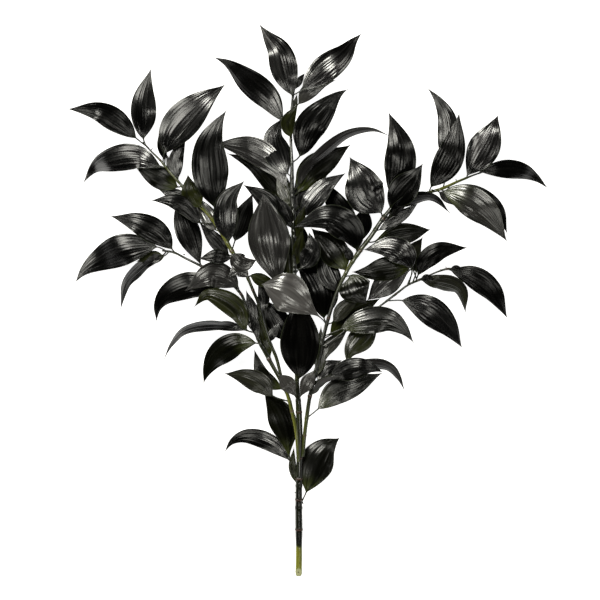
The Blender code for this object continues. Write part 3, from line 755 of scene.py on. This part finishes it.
@dataclass(frozen=True)
class BladeFinish:
    """Satin leaf skin: near-black with fine lengthwise veins, streaks and a thin pale margin.

    Attributes:
        black: The skin's darkest colour.
        soft_black: Its lighter streaks.
        olive: The cast of olive leaves.
        base_green: The green at the foot of some leaves.
        painted_sheen: Pale grey painted into some leaves as a sheen of reflected light.
        margin: The thin line along the edge.
        stalk: The leaf stalk.
        veins: How many veins cross the blade.
        fine_veins: How many fine veins do.
        streaks: Streaks across the blade and along it.
        hairs: Hair lines across the blade and along it.
        pebbles: Pebbles in a metre.
        sway: How far slow patches push the veins aside.
        gloss: Roughness of the shiniest and of the dullest streaks.
        relief: Heights of veins, fine veins, hair lines, streaks, pebbles and patches.
        bump: How much of the relief shows.
        bump_height: The real height of a relief of 1.
    """

    black: tuple = (0.0003, 0.0003, 0.0002, 1.0)
    soft_black: tuple = (0.0011, 0.0011, 0.0007, 1.0)
    olive: tuple = (0.0180, 0.0210, 0.0045, 1.0)
    base_green: tuple = (0.060, 0.075, 0.014, 1.0)
    # Painted sheen: pale grey that stands in for light reflected off the leaves.
    painted_sheen: tuple = (0.150, 0.142, 0.136, 1.0)
    margin: tuple = (0.045, 0.055, 0.030, 1.0)
    stalk: tuple = (0.012, 0.015, 0.006, 1.0)
    veins: float = 9.0
    fine_veins: float = 30.0
    streaks: tuple = (12.0, 1.3)
    hairs: tuple = (55.0, 3.0)
    pebbles: float = 420.0
    sway: float = 1.4
    gloss: tuple = (0.18, 0.28)
    relief: tuple = (0.35, 0.05, 0.10, 1.0, 0.45, 2.2)
    bump: float = 0.36
    bump_height: float = 0.35 * MM

    def material(self, name: str) -> bpy.types.Material:
        """Make the finish's material.

        Args:
            name: The material's name.

        Returns:
            The material.
        """
        sheet = NodeSheet(name)
        across, along, seed = sheet.split(GRAIN_LAYER)
        olive, painted_sheen, base = sheet.split(TONE_LAYER)
        stalk = sheet.number(STALK_LAYER)
        sheen = sheet.number(SHEEN_LAYER)
        shift = sheet.times(seed, 37.0)
        wide = sheet.vector(sheet.times(across, 3.0), along, shift)
        streaked, hairs = (
            sheet.vector(sheet.times(across, wide_count), sheet.times(along, long_count), shift)
            for wide_count, long_count in (self.streaks, self.hairs)
        )
        patches = sheet.mottle(wide, 1.7)
        streaks = sheet.mottle(streaked, 1.0, 3.0)
        hair = sheet.mottle(hairs, 1.0, 2.0)
        pebbles = sheet.mottle(sheet.add("TexCoord").outputs["Object"], self.pebbles, 3.0)
        sway = sheet.times(patches, self.sway)
        rib = self._ribs(sheet, across, sway, self.veins)
        fine = self._ribs(sheet, across, sway, self.fine_veins)

        skin = sheet.colour(sheet.spread(streaks, 0.40, 0.68), self.black, self.soft_black)
        olive_share = sheet.times(olive, sheet.spread(patches, 0.30, 0.62, 0.25, 1.0))
        skin = sheet.colour(olive_share, skin, self.olive)
        low = sheet.times(base, sheet.spread(along, 0.34, 0.02))
        low = sheet.times(low, sheet.spread(streaks, 0.34, 0.60, 0.2, 1.0))
        skin = sheet.colour(low, skin, self.base_green)
        # Painted sheen: pale grey mixed in along the streaks of leaves with a GREY, PALE or SILVER
        # tone.
        skin = sheet.colour(
            sheet.times(painted_sheen, sheet.spread(streaks, 0.2, 0.7, 0.5, 1.0)), skin, self.painted_sheen
        )
        edge = sheet.calc("ABSOLUTE", sheet.calc("SUBTRACT", across, 0.5))
        rim = sheet.spread(edge, 0.474, 0.494, 0.0, 0.55)
        skin = sheet.colour(rim, skin, self.margin)
        skin = sheet.colour(sheet.times(stalk, 0.9), skin, self.stalk)

        height = sheet.times(rib, self.relief[0])
        for layer, share in zip((fine, hair, streaks, pebbles, patches), self.relief[1:]):
            height = sheet.plus(height, sheet.times(layer, share))
        sheet.bump(height, self.bump, self.bump_height)
        sheet.surface(
            base_color=skin, roughness=sheet.spread(streaks, 0.30, 0.72, *self.gloss), ior=1.55,
            specular_ior_level=sheet.times(sheen, 0.5),
        )
        return sheet.material

    @staticmethod
    def _ribs(sheet: NodeSheet, across: object, sway: object,
              count: float) -> bpy.types.NodeSocket:
        """Return ridges that run lengthwise, so many across the blade."""
        turn = sheet.times(across, count * math.tau)
        return sheet.calc("SINE", sheet.plus(turn, sway))


@dataclass(frozen=True)
class BarkFinish:
    """Smooth stem skin: green-black, olive or bright yellow-green, with streaks and brown rings.

    Attributes:
        black: The darkest skin.
        olive: The middle one.
        bright: The yellow-green one.
        ring: The brown rings where leaves have been.
        streaks: Streaks round the stem and in a metre of it.
        flecks: Dark flecks in a metre.
        painted_left_light: How much lighter and yellower the stem's left side is painted, as
            painted light from the left.
        gloss: Roughness of the shiniest and of the dullest streaks.
        bump: How much of the streaks' relief shows.
        bump_height: The real height of that relief.
    """

    black: tuple = (0.0034, 0.0042, 0.0026, 1.0)
    olive: tuple = (0.034, 0.042, 0.011, 1.0)
    bright: tuple = (0.218, 0.225, 0.020, 1.0)
    ring: tuple = (0.075, 0.040, 0.032, 1.0)
    streaks: tuple = (5.0, 45.0)
    flecks: float = 260.0
    painted_left_light: float = 0.14
    gloss: tuple = (0.16, 0.26)
    bump: float = 0.25
    bump_height: float = 0.25 * MM

    def material(self, name: str) -> bpy.types.Material:
        """Make the finish's material.

        Args:
            name: The material's name.

        Returns:
            The material.
        """
        sheet = NodeSheet(name)
        cosine, sine, along = sheet.split(ROUND_LAYER)
        tint = sheet.number(TINT_LAYER)
        mark = sheet.number(MARK_LAYER)
        round_count, long_count = self.streaks
        grain = sheet.vector(
            sheet.times(cosine, round_count), sheet.times(sine, round_count),
            sheet.times(along, long_count),
        )
        streaks = sheet.mottle(grain, 1.0, 3.0)
        shade = sheet.plus(tint, sheet.spread(streaks, 0.3, 0.7, -0.12, 0.12))
        # Painted light: the stem's left side is coloured lighter and yellower, as if lit from that
        # side.
        shade = sheet.plus(shade, sheet.times(cosine, self.painted_left_light))
        skin = sheet.colour(sheet.spread(shade, 0.05, 0.5), self.black, self.olive)
        skin = sheet.colour(sheet.spread(shade, 0.45, 1.0), skin, self.bright)
        fleck = sheet.mottle(sheet.vector(cosine, sine, sheet.times(along, self.flecks)), 2.2)
        skin = sheet.colour(sheet.spread(fleck, 0.60, 0.74, 0.0, 0.45), skin, self.black)
        mark = sheet.times(mark, sheet.spread(fleck, 0.35, 0.55, 0.15, 1.0))
        skin = sheet.colour(mark, skin, self.ring)
        sheet.bump(streaks, self.bump, self.bump_height)
        sheet.surface(
            base_color=skin, roughness=sheet.spread(streaks, 0.3, 0.7, *self.gloss), ior=1.5
        )
        return sheet.material


@dataclass(frozen=True)
class CutFinish:
    """The pale face of the cut end, with its green skin ring, fibres and dark pith.

    Attributes:
        flesh: The pale wood.
        fibre: The ends of its fibres.
        ring: The skin round it.
        pith: The dark spot in the middle.
        radius: The stem's radius at the cut.
        pith_radius: The pith's radius.
        fibres: Fibres in a metre.
        bump: How much of the fibres' relief shows.
        bump_height: The real height of that relief.
    """

    flesh: tuple = (0.560, 0.560, 0.300, 1.0)
    fibre: tuple = (0.400, 0.420, 0.180, 1.0)
    ring: tuple = (0.250, 0.280, 0.080, 1.0)
    pith: tuple = (0.070, 0.065, 0.030, 1.0)
    radius: float = 3.3 * MM
    pith_radius: float = 0.55 * MM
    fibres: float = 2600.0
    bump: float = 0.4
    bump_height: float = 0.15 * MM

    def material(self, name: str, middle: Vector) -> bpy.types.Material:
        """Make the finish's material.

        Args:
            name: The material's name.
            middle: The point of the cut face on the stem's middle line.

        Returns:
            The material.
        """
        sheet = NodeSheet(name)
        spot = sheet.add("TexCoord").outputs["Object"]
        centred = sheet.add("Mapping", spot)
        centred.inputs["Location"].default_value = (-middle.x, 0.0, 0.0)
        apart = sheet.add("SeparateXYZ", centred.outputs[0]).outputs
        rise = sheet.calc("SUBTRACT", apart["Z"], middle.z)
        reach = sheet.calc("POWER", sheet.plus(sheet.calc("POWER", apart["X"], 2.0),
                                               sheet.calc("POWER", rise, 2.0)), 0.5)
        dots = sheet.mottle(spot, self.fibres)
        face = sheet.colour(sheet.spread(dots, 0.45, 0.62), self.flesh, self.fibre)
        face = sheet.colour(
            sheet.spread(reach, 0.80 * self.radius, 0.95 * self.radius), face, self.ring
        )
        face = sheet.colour(
            sheet.spread(reach, 1.3 * self.pith_radius, 0.8 * self.pith_radius), face, self.pith
        )
        sheet.bump(dots, self.bump, self.bump_height)
        sheet.surface(base_color=face, roughness=0.6, ior=1.45)
        return sheet.material


@dataclass(frozen=True)
class FloorFinish:
    """Plain matt floor, almost white and slightly lit from below, so that shadows stay faint.

    Attributes:
        colour: The floor's colour.
        glow: How strongly it is lit from below.
    """

    colour: tuple = (0.90, 0.90, 0.90, 1.0)
    glow: float = 0.95

    def material(self, name: str) -> bpy.types.Material:
        """Make the finish's material.

        Args:
            name: The material's name.

        Returns:
            The material.
        """
        sheet = NodeSheet(name)
        sheet.surface(
            base_color=self.colour, roughness=0.9, emission_color=WHITE,
            emission_strength=self.glow,
        )
        return sheet.material


@dataclass(frozen=True)
class Station:
    """One cross line of a leaf.

    Attributes:
        spot: Its middle.
        left: The way to the blade's left edge.
        up: The way out of the blade's upper side.
        half_width: Half its width.
        half_thickness: Half the leaf's thickness there.
        share: Its place, as a share of the blade's length.
        stalk: How much of a round stalk the leaf still is there, from 0 to 1.
        length: The blade's length.
    """

    spot: Vector
    left: Vector
    up: Vector
    half_width: float
    half_thickness: float
    share: float
    stalk: float
    length: float


@dataclass(frozen=True)
class Look:
    """One leaf's look.

    Attributes:
        tone: The leaf's colouring.
        seed: A number of its own for its streaks and ripples.
        wave: Where its slow lengthwise wave begins, in whole waves.
        sheen: How strongly it shines.
    """

    tone: Tone
    seed: float
    wave: float
    sheen: Sheen


@dataclass
class LeafForm:
    """Builds leaves: a round stalk that opens into a waved blade with a drawn-out tip.

    Attributes:
        across: Faces across a leaf.
        blade_rows: Rows of faces along the blade.
        stalk_rows: Rows of faces along the stalk.
        stalk_radius: Half the stalk's thickness.
        stalk_end: Where on the blade the round stalk has become flat, as a share of its length.
        stalk_slant: How far down the stem the stalk starts, as a share of its reach.
        half_thickness: Half the blade's thickness.
        edge_thickness: Half the thickness that the edge keeps.
        edge_power: How late the blade thins towards its edge.
        tip_half_width: Half the width that the tip keeps.
        tip_sharpness: How drawn-out the tip is.
        root_sink: How far short of the stem's end the last stalk starts.
        opening: How soon the blade's fold and waves set in.
        crown: How round the fold is at the midrib.
        wave_height: Height of the waves along the edge, as a share of the half width.
        edge_waves: Waves along the edge.
        edge_lag: How far the waves of the two edges are out of step.
        ripple: Height of the uneven ripples, as a share of the length.
        ripple_size: Ripples along and across, and the step between two leaves' ripples.
        ripple_share: How much of the ripples shows at the midrib, and how much more at the edge.
        arch: Height of the slow lengthwise wave, as a share of the length.
        arches: Slow waves along the blade.
        wave_step: How much further on a leaf's slow wave begins than the last leaf's, in waves.
        pleat: Height of the pleats.
        pleats: Pleats across the blade.
        full_half_width: Half width from which ripples, waves and pleats have their full height.
    """

    across: int = 20
    blade_rows: int = 34
    stalk_rows: int = 5
    stalk_radius: float = 0.7 * MM
    stalk_end: float = 0.07
    stalk_slant: float = 0.8
    half_thickness: float = 0.27 * MM
    edge_thickness: float = 0.06 * MM
    edge_power: int = 5
    tip_half_width: float = 0.18 * MM
    tip_sharpness: float = 1.4
    root_sink: float = 4.0 * MM
    opening: float = 4.0
    crown: float = 0.06
    wave_height: float = 0.035
    edge_waves: float = 2.5
    edge_lag: float = 2.0
    ripple: float = 0.011
    ripple_size: tuple = (4.0, 1.2, 60.0)
    ripple_share: tuple = (0.3, 0.7)
    arch: float = 0.010
    arches: float = 1.4
    wave_step: float = 0.38
    pleat: float = 0.10 * MM
    pleats: float = 4.5
    full_half_width: float = 8.0 * MM

    def outline(self, share: float, widest: float) -> float:
        """Work out how wide a blade is at one place.

        Args:
            share: The place, as a share of the blade's length.
            widest: Where the blade is widest, as a share of its length.

        Returns:
            The half width, as a share of the greatest.
        """
        rise = self.tip_sharpness * widest / (1.0 - widest)
        low = (share / widest) ** rise
        return low * ((1.0 - share) / (1.0 - widest)) ** self.tip_sharpness

    def course(self, leaf: Leaf, stem: Course) -> tuple[Course, float]:
        """Draw a leaf's middle line.

        Args:
            leaf: The leaf's plan.
            stem: The middle line of the stem that it grows from.

        Returns:
            The line from the stem's middle to the tip, and how far along it the blade begins.
        """
        midrib = [place(*point) for point in leaf.midrib]
        foot = place(*leaf.foot, leaf.midrib[0][2]) if leaf.foot else midrib[0]
        near = stem.nearest(foot)
        if not leaf.foot:
            near -= self.stalk_slant * (midrib[0] - stem.at(near)[0]).length
        root = stem.at(min(near, stem.length - self.root_sink))[0]
        line = Course([root, *midrib])
        return line, line.reach[Course.STEPS]

    def stations(self, leaf: Leaf, stem: Course) -> list[Station]:
        """Lay out a leaf's cross lines.

        Args:
            leaf: The leaf's plan.
            stem: The middle line of the stem that it grows from.

        Returns:
            The cross lines from root to tip.
        """
        line, base = self.course(leaf, stem)
        places = [(base * row / self.stalk_rows, 0.0) for row in range(self.stalk_rows)]
        for row in range(self.blade_rows + 1):
            even = row / self.blade_rows
            share = 0.5 * even + 0.25 * (1.0 - math.cos(math.pi * even))
            places.append((base + share * (line.length - base), share))
        made = []
        for distance, share in places:
            along = line.direction(distance)
            left = SURFACE_UP.cross(along).normalized()
            up = along.cross(left)
            turn = math.radians(leaf.roll) * min(1.0, self.opening * share)
            left, up = (
                left * math.cos(turn) + up * math.sin(turn),
                up * math.cos(turn) - left * math.sin(turn),
            )
            blade = 0.5 * leaf.width * MM * self.outline(share, leaf.widest)
            least = self.stalk_radius if share < leaf.widest else self.tip_half_width
            width = (blade ** 3 + least ** 3) ** (1.0 / 3.0)
            stalk = 1.0 - min(1.0, share / self.stalk_end)
            thickness = self.half_thickness + (self.stalk_radius - self.half_thickness) * stalk
            made.append(Station(
                line.at(distance)[0], left, up, width, thickness, share, stalk, line.length - base
            ))
        return made

    def grow(self, bm: bmesh.types.BMesh, leaf: Leaf, stem: Course, look: Look) -> None:
        """Add a leaf to a mesh.

        Args:
            bm: The mesh, which has the grain, tone, stalk and sheen layers.
            leaf: The leaf's plan.
            stem: The middle line of the stem that it grows from.
            look: The leaf's colouring, sheen and own small differences.
        """
        grain = bm.verts.layers.float_vector[GRAIN_LAYER]
        tones = bm.verts.layers.float_vector[TONE_LAYER]
        stalks = bm.verts.layers.float[STALK_LAYER]
        sheens = bm.verts.layers.float[SHEEN_LAYER]
        rise = bm.verts.layers.float_vector[RISE_LAYER]
        rows = self.stations(leaf, stem)
        grid = bmesh.ops.create_grid(
            bm, x_segments=self.across, y_segments=len(rows) - 1, size=1.0
        )["verts"]
        for vert in grid:
            side = vert.co.x
            row = rows[round((vert.co.y + 1.0) / 2.0 * (len(rows) - 1))]
            vert[grain] = (0.5 + 0.5 * side, row.share, look.seed)
            vert[tones] = look.tone.value
            vert[stalks] = row.stalk
            vert[sheens] = look.sheen.value
            lower, lift = self._pair(leaf, row, side, look)
            vert[rise] = lift
            vert.co = lower
        faces = list({face for vert in grid for face in vert.link_faces})
        extruded = bmesh.ops.extrude_face_region(bm, geom=faces)["geom"]
        for vert in extruded:
            if isinstance(vert, bmesh.types.BMVert):
                vert.co = keep_in_box(vert.co + vert[rise])

    def _pair(self, leaf: Leaf, row: Station, side: float, look: Look) -> tuple[Vector, Vector]:
        """Place one spot of a blade.

        Args:
            leaf: The leaf's plan.
            row: The cross line that the spot lies on.
            side: How far out it lies, from -1 at the right edge to 1 at the left.
            look: The leaf's own small differences.

        Returns:
            The lower point, and the way from it up to the upper one.
        """
        round_side = math.sin(side * math.pi / 2.0)
        across = side + (round_side - side) * row.stalk
        rim = math.sqrt(max(0.0, 1.0 - abs(side) ** self.edge_power))
        bulk = rim + (math.cos(side * math.pi / 2.0) - rim) * row.stalk
        half = max(row.half_thickness * bulk, self.edge_thickness)
        crown = math.sqrt(side * side + self.crown) - self.crown
        phase = self.edge_waves * math.tau * row.share + self.edge_lag * side
        wave = self.wave_height * math.sin(phase) * abs(side)
        opening = min(1.0, self.opening * row.share)
        bend = (leaf.fold * crown + wave) * row.half_width * opening
        fullness = opening * min(1.0, row.half_width / self.full_half_width)
        along, out, apart = self.ripple_size
        spot = Vector((along * row.share, out * side, apart * look.seed))
        middle, edge = self.ripple_share
        swell = self.ripple * noise.noise(spot) * (middle + edge * abs(side))
        swell += self.arch * math.sin(math.tau * (self.arches * row.share + look.wave))
        bend += swell * row.length * fullness
        bend += self.pleat * math.cos(self.pleats * math.tau * (side + 1.0) / 2.0) * fullness
        lower = row.spot - across * row.half_width * row.left + (bend - half) * row.up
        return keep_in_box(lower), 2.0 * half * row.up


@dataclass
class StemForm:
    """Builds stems: round, finely ribbed bars that swell at each leaf, with buds and rings.

    Attributes:
        sides: Faces round a stem.
        step: Length of a face along it.
        rib_depth: Depth of the ribs, as a share of the radius.
        ribs: Ribs round the stem.
        leaf_swelling: How much thicker the stem is at a leaf.
        knot_swelling: How much thicker it is at a ring.
        leaf_reach: How far along the stem a leaf's swelling reaches.
        knot_reach: How far a ring's does.
        root_depth: How far out of its carrier a branch starts, as a share of its radius.
        bud_rows: Faces round and along a bud.
        bud_girth: A bud's thickness, as a share of its length.
        bud_pinch: How much a bud narrows at its tip.
        bud_tint: A bud's place between green-black and yellow-green.
    """

    sides: int = 16
    step: float = 0.8 * MM
    rib_depth: float = 0.035
    ribs: int = 7
    leaf_swelling: float = 0.13
    knot_swelling: float = 0.15
    leaf_reach: float = 1.6 * MM
    knot_reach: float = 0.9 * MM
    root_depth: float = 0.35
    bud_rows: int = 8
    bud_girth: float = 0.36
    bud_pinch: float = 0.45
    bud_tint: float = 0.12

    def course(self, plan: StemPlan, courses: dict[str, Course]) -> Course:
        """Draw a stem's middle line, with its root sunk in the stem that carries it.

        Args:
            plan: The stem's plan.
            courses: Middle lines of the stems built so far.

        Returns:
            The line, with radius and tint along it.
        """
        points = [place(x, y, height) for x, y, height, _, _ in plan.route]
        values = [(radius * MM, tint) for _, _, _, radius, tint in plan.route]
        if plan.parent:
            parent = courses[plan.parent]
            seat, (parent_radius, _) = parent.at(parent.nearest(points[0]))
            outward = (points[0] - seat).normalized()
            points[0] = seat + outward * (parent_radius + self.root_depth * values[0][0])
        return Course(points, values)

    def grow(self, bm: bmesh.types.BMesh, plan: StemPlan, course: Course,
             feet: list[float]) -> None:
        """Add a stem to a mesh.

        Args:
            bm: The mesh, which has the round, tint and mark layers.
            plan: The stem's plan.
            course: The stem's middle line.
            feet: Distances along it at which leaves grow.
        """
        turned = bm.verts.layers.float_vector[ROUND_LAYER]
        tints = bm.verts.layers.float[TINT_LAYER]
        marks = bm.verts.layers.float[MARK_LAYER]
        knots = [course.nearest(place(*knot)) for knot in plan.knots]
        rows = math.ceil(course.length / self.step)
        grid = bmesh.ops.create_grid(
            bm, x_segments=self.sides, y_segments=rows, size=1.0
        )["verts"]
        frames = self._frames(course, rows)
        for vert in grid:
            row = round((vert.co.y + 1.0) / 2.0 * rows)
            angle = math.pi * vert.co.x
            spot, radius, tint, left, up = frames[row]
            distance = course.length * row / rows
            mark = self._closeness(distance, knots, self.knot_reach)
            swell = self.leaf_swelling * self._closeness(distance, feet, self.leaf_reach)
            swell += self.knot_swelling * mark
            ribbed = 1.0 + self.rib_depth * math.cos(self.ribs * angle)
            reach = radius * (1.0 + swell) * ribbed
            vert[turned] = (math.cos(angle), math.sin(angle), distance)
            vert[tints] = tint
            vert[marks] = mark
            vert.co = keep_in_box(
                spot + reach * (math.cos(angle) * left + math.sin(angle) * up)
            )
        bmesh.ops.remove_doubles(bm, verts=grid, dist=MERGE_DISTANCE)
        for bud in plan.buds:
            self._bud(bm, *bud)

    def _frames(self, course: Course, rows: int) -> list[tuple]:
        """Lay out the rings of a stem.

        Args:
            course: The stem's middle line.
            rows: How many rows of faces it gets.

        Returns:
            Place, radius, tint and the two cross axes of each ring.
        """
        frames = []
        for row in range(rows + 1):
            distance = course.length * row / rows
            spot, (radius, tint) = course.at(distance)
            left = SURFACE_UP.cross(course.direction(distance)).normalized()
            frames.append((spot, radius, tint, left, course.direction(distance).cross(left)))
        return frames

    def _closeness(self, distance: float, places: list[float], reach: float) -> float:
        """Return how near a distance is to the nearest of some places, from 0 to 1."""
        nearest = min((abs(distance - spot) for spot in places), default=1.0)
        return math.exp(-((nearest / reach) ** 2))

    def _bud(self, bm: bmesh.types.BMesh, x: float, y: float, height: float, length: float,
             turn: float) -> None:
        """Add a small pointed bud.

        Args:
            bm: The stem's mesh.
            x: The bud's place on the sheet, to the right.
            y: Its place down the sheet.
            height: Its height over the floor.
            length: Its length.
            turn: The way that it points, in degrees from +X.
        """
        turned = bm.verts.layers.float_vector[ROUND_LAYER]
        tints = bm.verts.layers.float[TINT_LAYER]
        half = 0.5 * length * MM
        verts = bmesh.ops.create_uvsphere(
            bm, u_segments=self.bud_rows, v_segments=self.bud_rows, radius=1.0
        )["verts"]
        spin = Matrix.Rotation(math.radians(turn), 4, "Z")
        for vert in verts:
            pinch = 1.0 - self.bud_pinch * max(0.0, vert.co.x) ** 2
            shape = Vector((vert.co.x * half, self.bud_girth * half * vert.co.y * pinch,
                            self.bud_girth * half * vert.co.z * pinch))
            vert[turned] = (vert.co.y, vert.co.z, vert.co.x * half)
            vert[tints] = self.bud_tint
            vert.co = keep_in_box(place(x, y, height) + spin @ shape)


@dataclass
class LeafyStem:
    """One leafy stem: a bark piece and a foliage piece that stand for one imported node.

    Attributes:
        plan: The stem's plan.
        number: The stem's number, which starts its draw of random seeds.
        leaf_form: How leaves are built.
        stem_form: How stems are built.
        cut_place: A point (x, y, height) of the main stem's slanted cut.
        cut_normal: The way that the cut face looks.
        cut_reach: How far behind that point the cut face ends.
        cut_match: How well a face has to look along the normal to belong to the cut.
    """

    plan: StemPlan
    number: int
    leaf_form: LeafForm
    stem_form: StemForm
    cut_place: tuple = (298.5, 573.2, 3.2)
    cut_normal: tuple = (0.0, -1.0, 1.3)
    cut_reach: float = 6.0 * MM
    cut_match: float = 0.999

    def build(self, courses: dict[str, Course], blade: bpy.types.Material,
              bark: bpy.types.Material) -> list[bpy.types.Object]:
        """Build the stem's two pieces.

        Args:
            courses: Middle lines of the stems built so far, which gets this one's.
            blade: The leaves' material.
            bark: The stem's material.

        Returns:
            The foliage and the bark.
        """
        course = self.stem_form.course(self.plan, courses)
        courses[self.plan.node] = course
        foliage = self._foliage(course, blade)
        stem = self._bark(course, bark)
        for piece in (foliage, stem):
            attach(piece, BODY)
            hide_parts(self.plan.node)
        return [foliage, stem]

    def _foliage(self, course: Course, material: bpy.types.Material) -> bpy.types.Object:
        """Build the stem's leaves as one piece.

        Args:
            course: The stem's middle line.
            material: The leaves' material.

        Returns:
            The piece.
        """
        bm = bmesh.new()
        for layer in (GRAIN_LAYER, TONE_LAYER, RISE_LAYER):
            bm.verts.layers.float_vector.new(layer)
        bm.verts.layers.float.new(STALK_LAYER)
        bm.verts.layers.float.new(SHEEN_LAYER)
        draw = random.Random(self.number)
        for number, leaf in enumerate(self.plan.leaves, 1):
            tone = self.plan.tones.get(number, Tone.BLACK)
            wave = number * self.leaf_form.wave_step
            look = Look(tone, draw.random(), wave, self.plan.sheen(number))
            self.leaf_form.grow(bm, leaf, course, look)
        bm.verts.layers.float_vector.remove(bm.verts.layers.float_vector[RISE_LAYER])
        return finished_piece(f"{self.plan.node}_leaves", bm, [material])

    def _bark(self, course: Course, material: bpy.types.Material) -> bpy.types.Object:
        """Build the stem's bar as one piece, cut on a slant where it is the main one.

        Args:
            course: The stem's middle line.
            material: The stem's material.

        Returns:
            The piece.
        """
        bm = bmesh.new()
        bm.verts.layers.float_vector.new(ROUND_LAYER)
        bm.verts.layers.float.new(TINT_LAYER)
        bm.verts.layers.float.new(MARK_LAYER)
        feet = [
            course.nearest(self.leaf_form.course(leaf, course)[0].at(0.0)[0])
            for leaf in self.plan.leaves
        ]
        self.stem_form.grow(bm, self.plan, course, feet)
        materials = [material]
        cut_middle = place(*self.cut_place)
        if not self.plan.parent:
            materials.append(CutFinish().material("cut_end", cut_middle))
            bmesh.ops.bisect_plane(
                bm, geom=bm.verts[:] + bm.edges[:] + bm.faces[:],
                plane_co=cut_middle, plane_no=self.cut_normal, clear_outer=True,
            )
        rims = [edge for edge in bm.edges if edge.is_boundary]
        caps = bmesh.ops.holes_fill(bm, edges=rims, sides=0)["faces"]
        bmesh.ops.triangulate(bm, faces=caps)
        if not self.plan.parent:
            slanted = Vector(self.cut_normal).normalized()
            bm.normal_update()
            for face in bm.faces:
                near = face.calc_center_median().y < cut_middle.y + self.cut_reach
                if near and abs(face.normal.dot(slanted)) > self.cut_match:
                    face.material_index = 1
        return finished_piece(f"{self.plan.node}_bark", bm, materials)


def finished_piece(name: str, bm: bmesh.types.BMesh,
                   materials: list[bpy.types.Material]) -> bpy.types.Object:
    """Write a mesh as a smooth piece whose faces point outwards.

    Args:
        name: The piece's name.
        bm: The mesh, which is freed.
        materials: The piece's materials.

    Returns:
        The linked object.
    """
    bmesh.ops.recalc_face_normals(bm, faces=bm.faces)
    mesh = bpy.data.meshes.new(name)
    bm.to_mesh(mesh)
    bm.free()
    for material in materials:
        mesh.materials.append(material)
    mesh.shade_smooth()
    mesh.set_sharp_from_angle(angle=CREASE_ANGLE)
    piece = bpy.data.objects.new(name, mesh)
    bpy.context.scene.collection.objects.link(piece)
    return piece


@dataclass(frozen=True)
class SoftBox:
    """One soft studio light.

    Attributes:
        name: The light's name.
        spot: Where it stands, in metres.
        size: Its width and height, in metres.
        power: Its power, in watts.
    """

    name: str
    spot: tuple
    size: tuple
    power: float


@dataclass(frozen=True)
class Studio:
    """The pale floor, the soft lights and the camera that looks straight down.

    Attributes:
        floor_side: Width and depth of the floor.
        camera_height: Height of the camera over the floor.
        plan_height: Height at which one pixel shows 1 mm.
        sensor: Width of the camera's sensor, in millimetres.
        near_clip: Nearest distance that the camera shows.
        sky: Brightness of the white surroundings.
        light_colour: Colour of the lights.
        boxes: The lights.
    """

    floor_side: float = 6.0
    camera_height: float = 9.0
    plan_height: float = 0.035
    sensor: float = 36.0
    near_clip: float = 0.1
    sky: float = 0.012
    light_colour: tuple = (1.0, 0.985, 0.90)
    boxes: tuple = (
        SoftBox("key_light", (-0.26, 0.56, 1.50), (0.40, 0.34), 15.0),
        SoftBox("window_light", (-1.25, 0.25, 1.20), (0.60, 0.80), 11.0),
        SoftBox("right_light", (0.95, 0.25, 1.30), (0.20, 0.60), 4.0),
        SoftBox("low_right_light", (1.05, -0.60, 1.15), (0.50, 0.40), 2.0),
        SoftBox("front_light", (0.02, -0.74, 1.30), (0.50, 0.16), 2.6),
    )

    def build(self) -> None:
        """Set up the floor, the lights, the sky and the camera."""
        self._floor()
        for box in self.boxes:
            self._light(box)
        world = bpy.data.worlds.new("studio_sky")
        world.use_nodes = True
        sky = world.node_tree.nodes["Background"]
        sky.inputs["Color"].default_value = WHITE
        sky.inputs["Strength"].default_value = self.sky
        bpy.context.scene.world = world
        bpy.context.scene.view_settings.view_transform = "Standard"
        self._camera()

    def _floor(self) -> None:
        """Lay the floor."""
        bm = bmesh.new()
        bmesh.ops.create_grid(bm, x_segments=1, y_segments=1, size=0.5 * self.floor_side)
        floor = finished_piece("floor", bm, [FloorFinish().material("floor")])

    def _light(self, box: SoftBox) -> None:
        """Hang one soft light, aimed at the middle of the stem.

        Args:
            box: The light's place, size and power.
        """
        lamp = bpy.data.lights.new(box.name, "AREA")
        lamp.shape = "RECTANGLE"
        lamp.size, lamp.size_y = box.size
        lamp.energy = box.power
        lamp.color = self.light_colour
        thing = bpy.data.objects.new(box.name, lamp)
        thing.location = box.spot
        thing.rotation_euler = (-Vector(box.spot)).to_track_quat("-Z", "Y").to_euler()
        bpy.context.scene.collection.objects.link(thing)

    def _camera(self) -> None:
        """Hang the camera over the middle of the sheet, so that one pixel shows 1 mm."""
        lens = bpy.data.cameras.new("camera")
        lens.sensor_width = self.sensor
        lens.lens = self.sensor * (self.camera_height - self.plan_height) / (PHOTO_SIDE * MM)
        lens.clip_start, lens.clip_end = self.near_clip, 3.0 * self.camera_height
        camera = bpy.data.objects.new("camera", lens)
        camera.location = place(*PHOTO_MIDDLE, self.camera_height / MM)
        bpy.context.scene.collection.objects.link(camera)
        bpy.context.scene.camera = camera


def main() -> None:
    """Build the leafy stems and the studio."""
    logging.basicConfig(level=logging.INFO, format="%(name)s: %(message)s")
    blade = BladeFinish().material("leaf_skin")
    bark = BarkFinish().material("stem_skin")
    courses: dict[str, Course] = {}
    for number, plan in enumerate(LEAFY_STEMS, 1):
        stem = LeafyStem(plan, number, LeafForm(), StemForm())
        for piece in stem.build(courses, blade, bark):
            log.info("%s: %d faces", piece.name, len(piece.data.polygons))
    Studio().build()


if __name__ == "__main__":
    main()
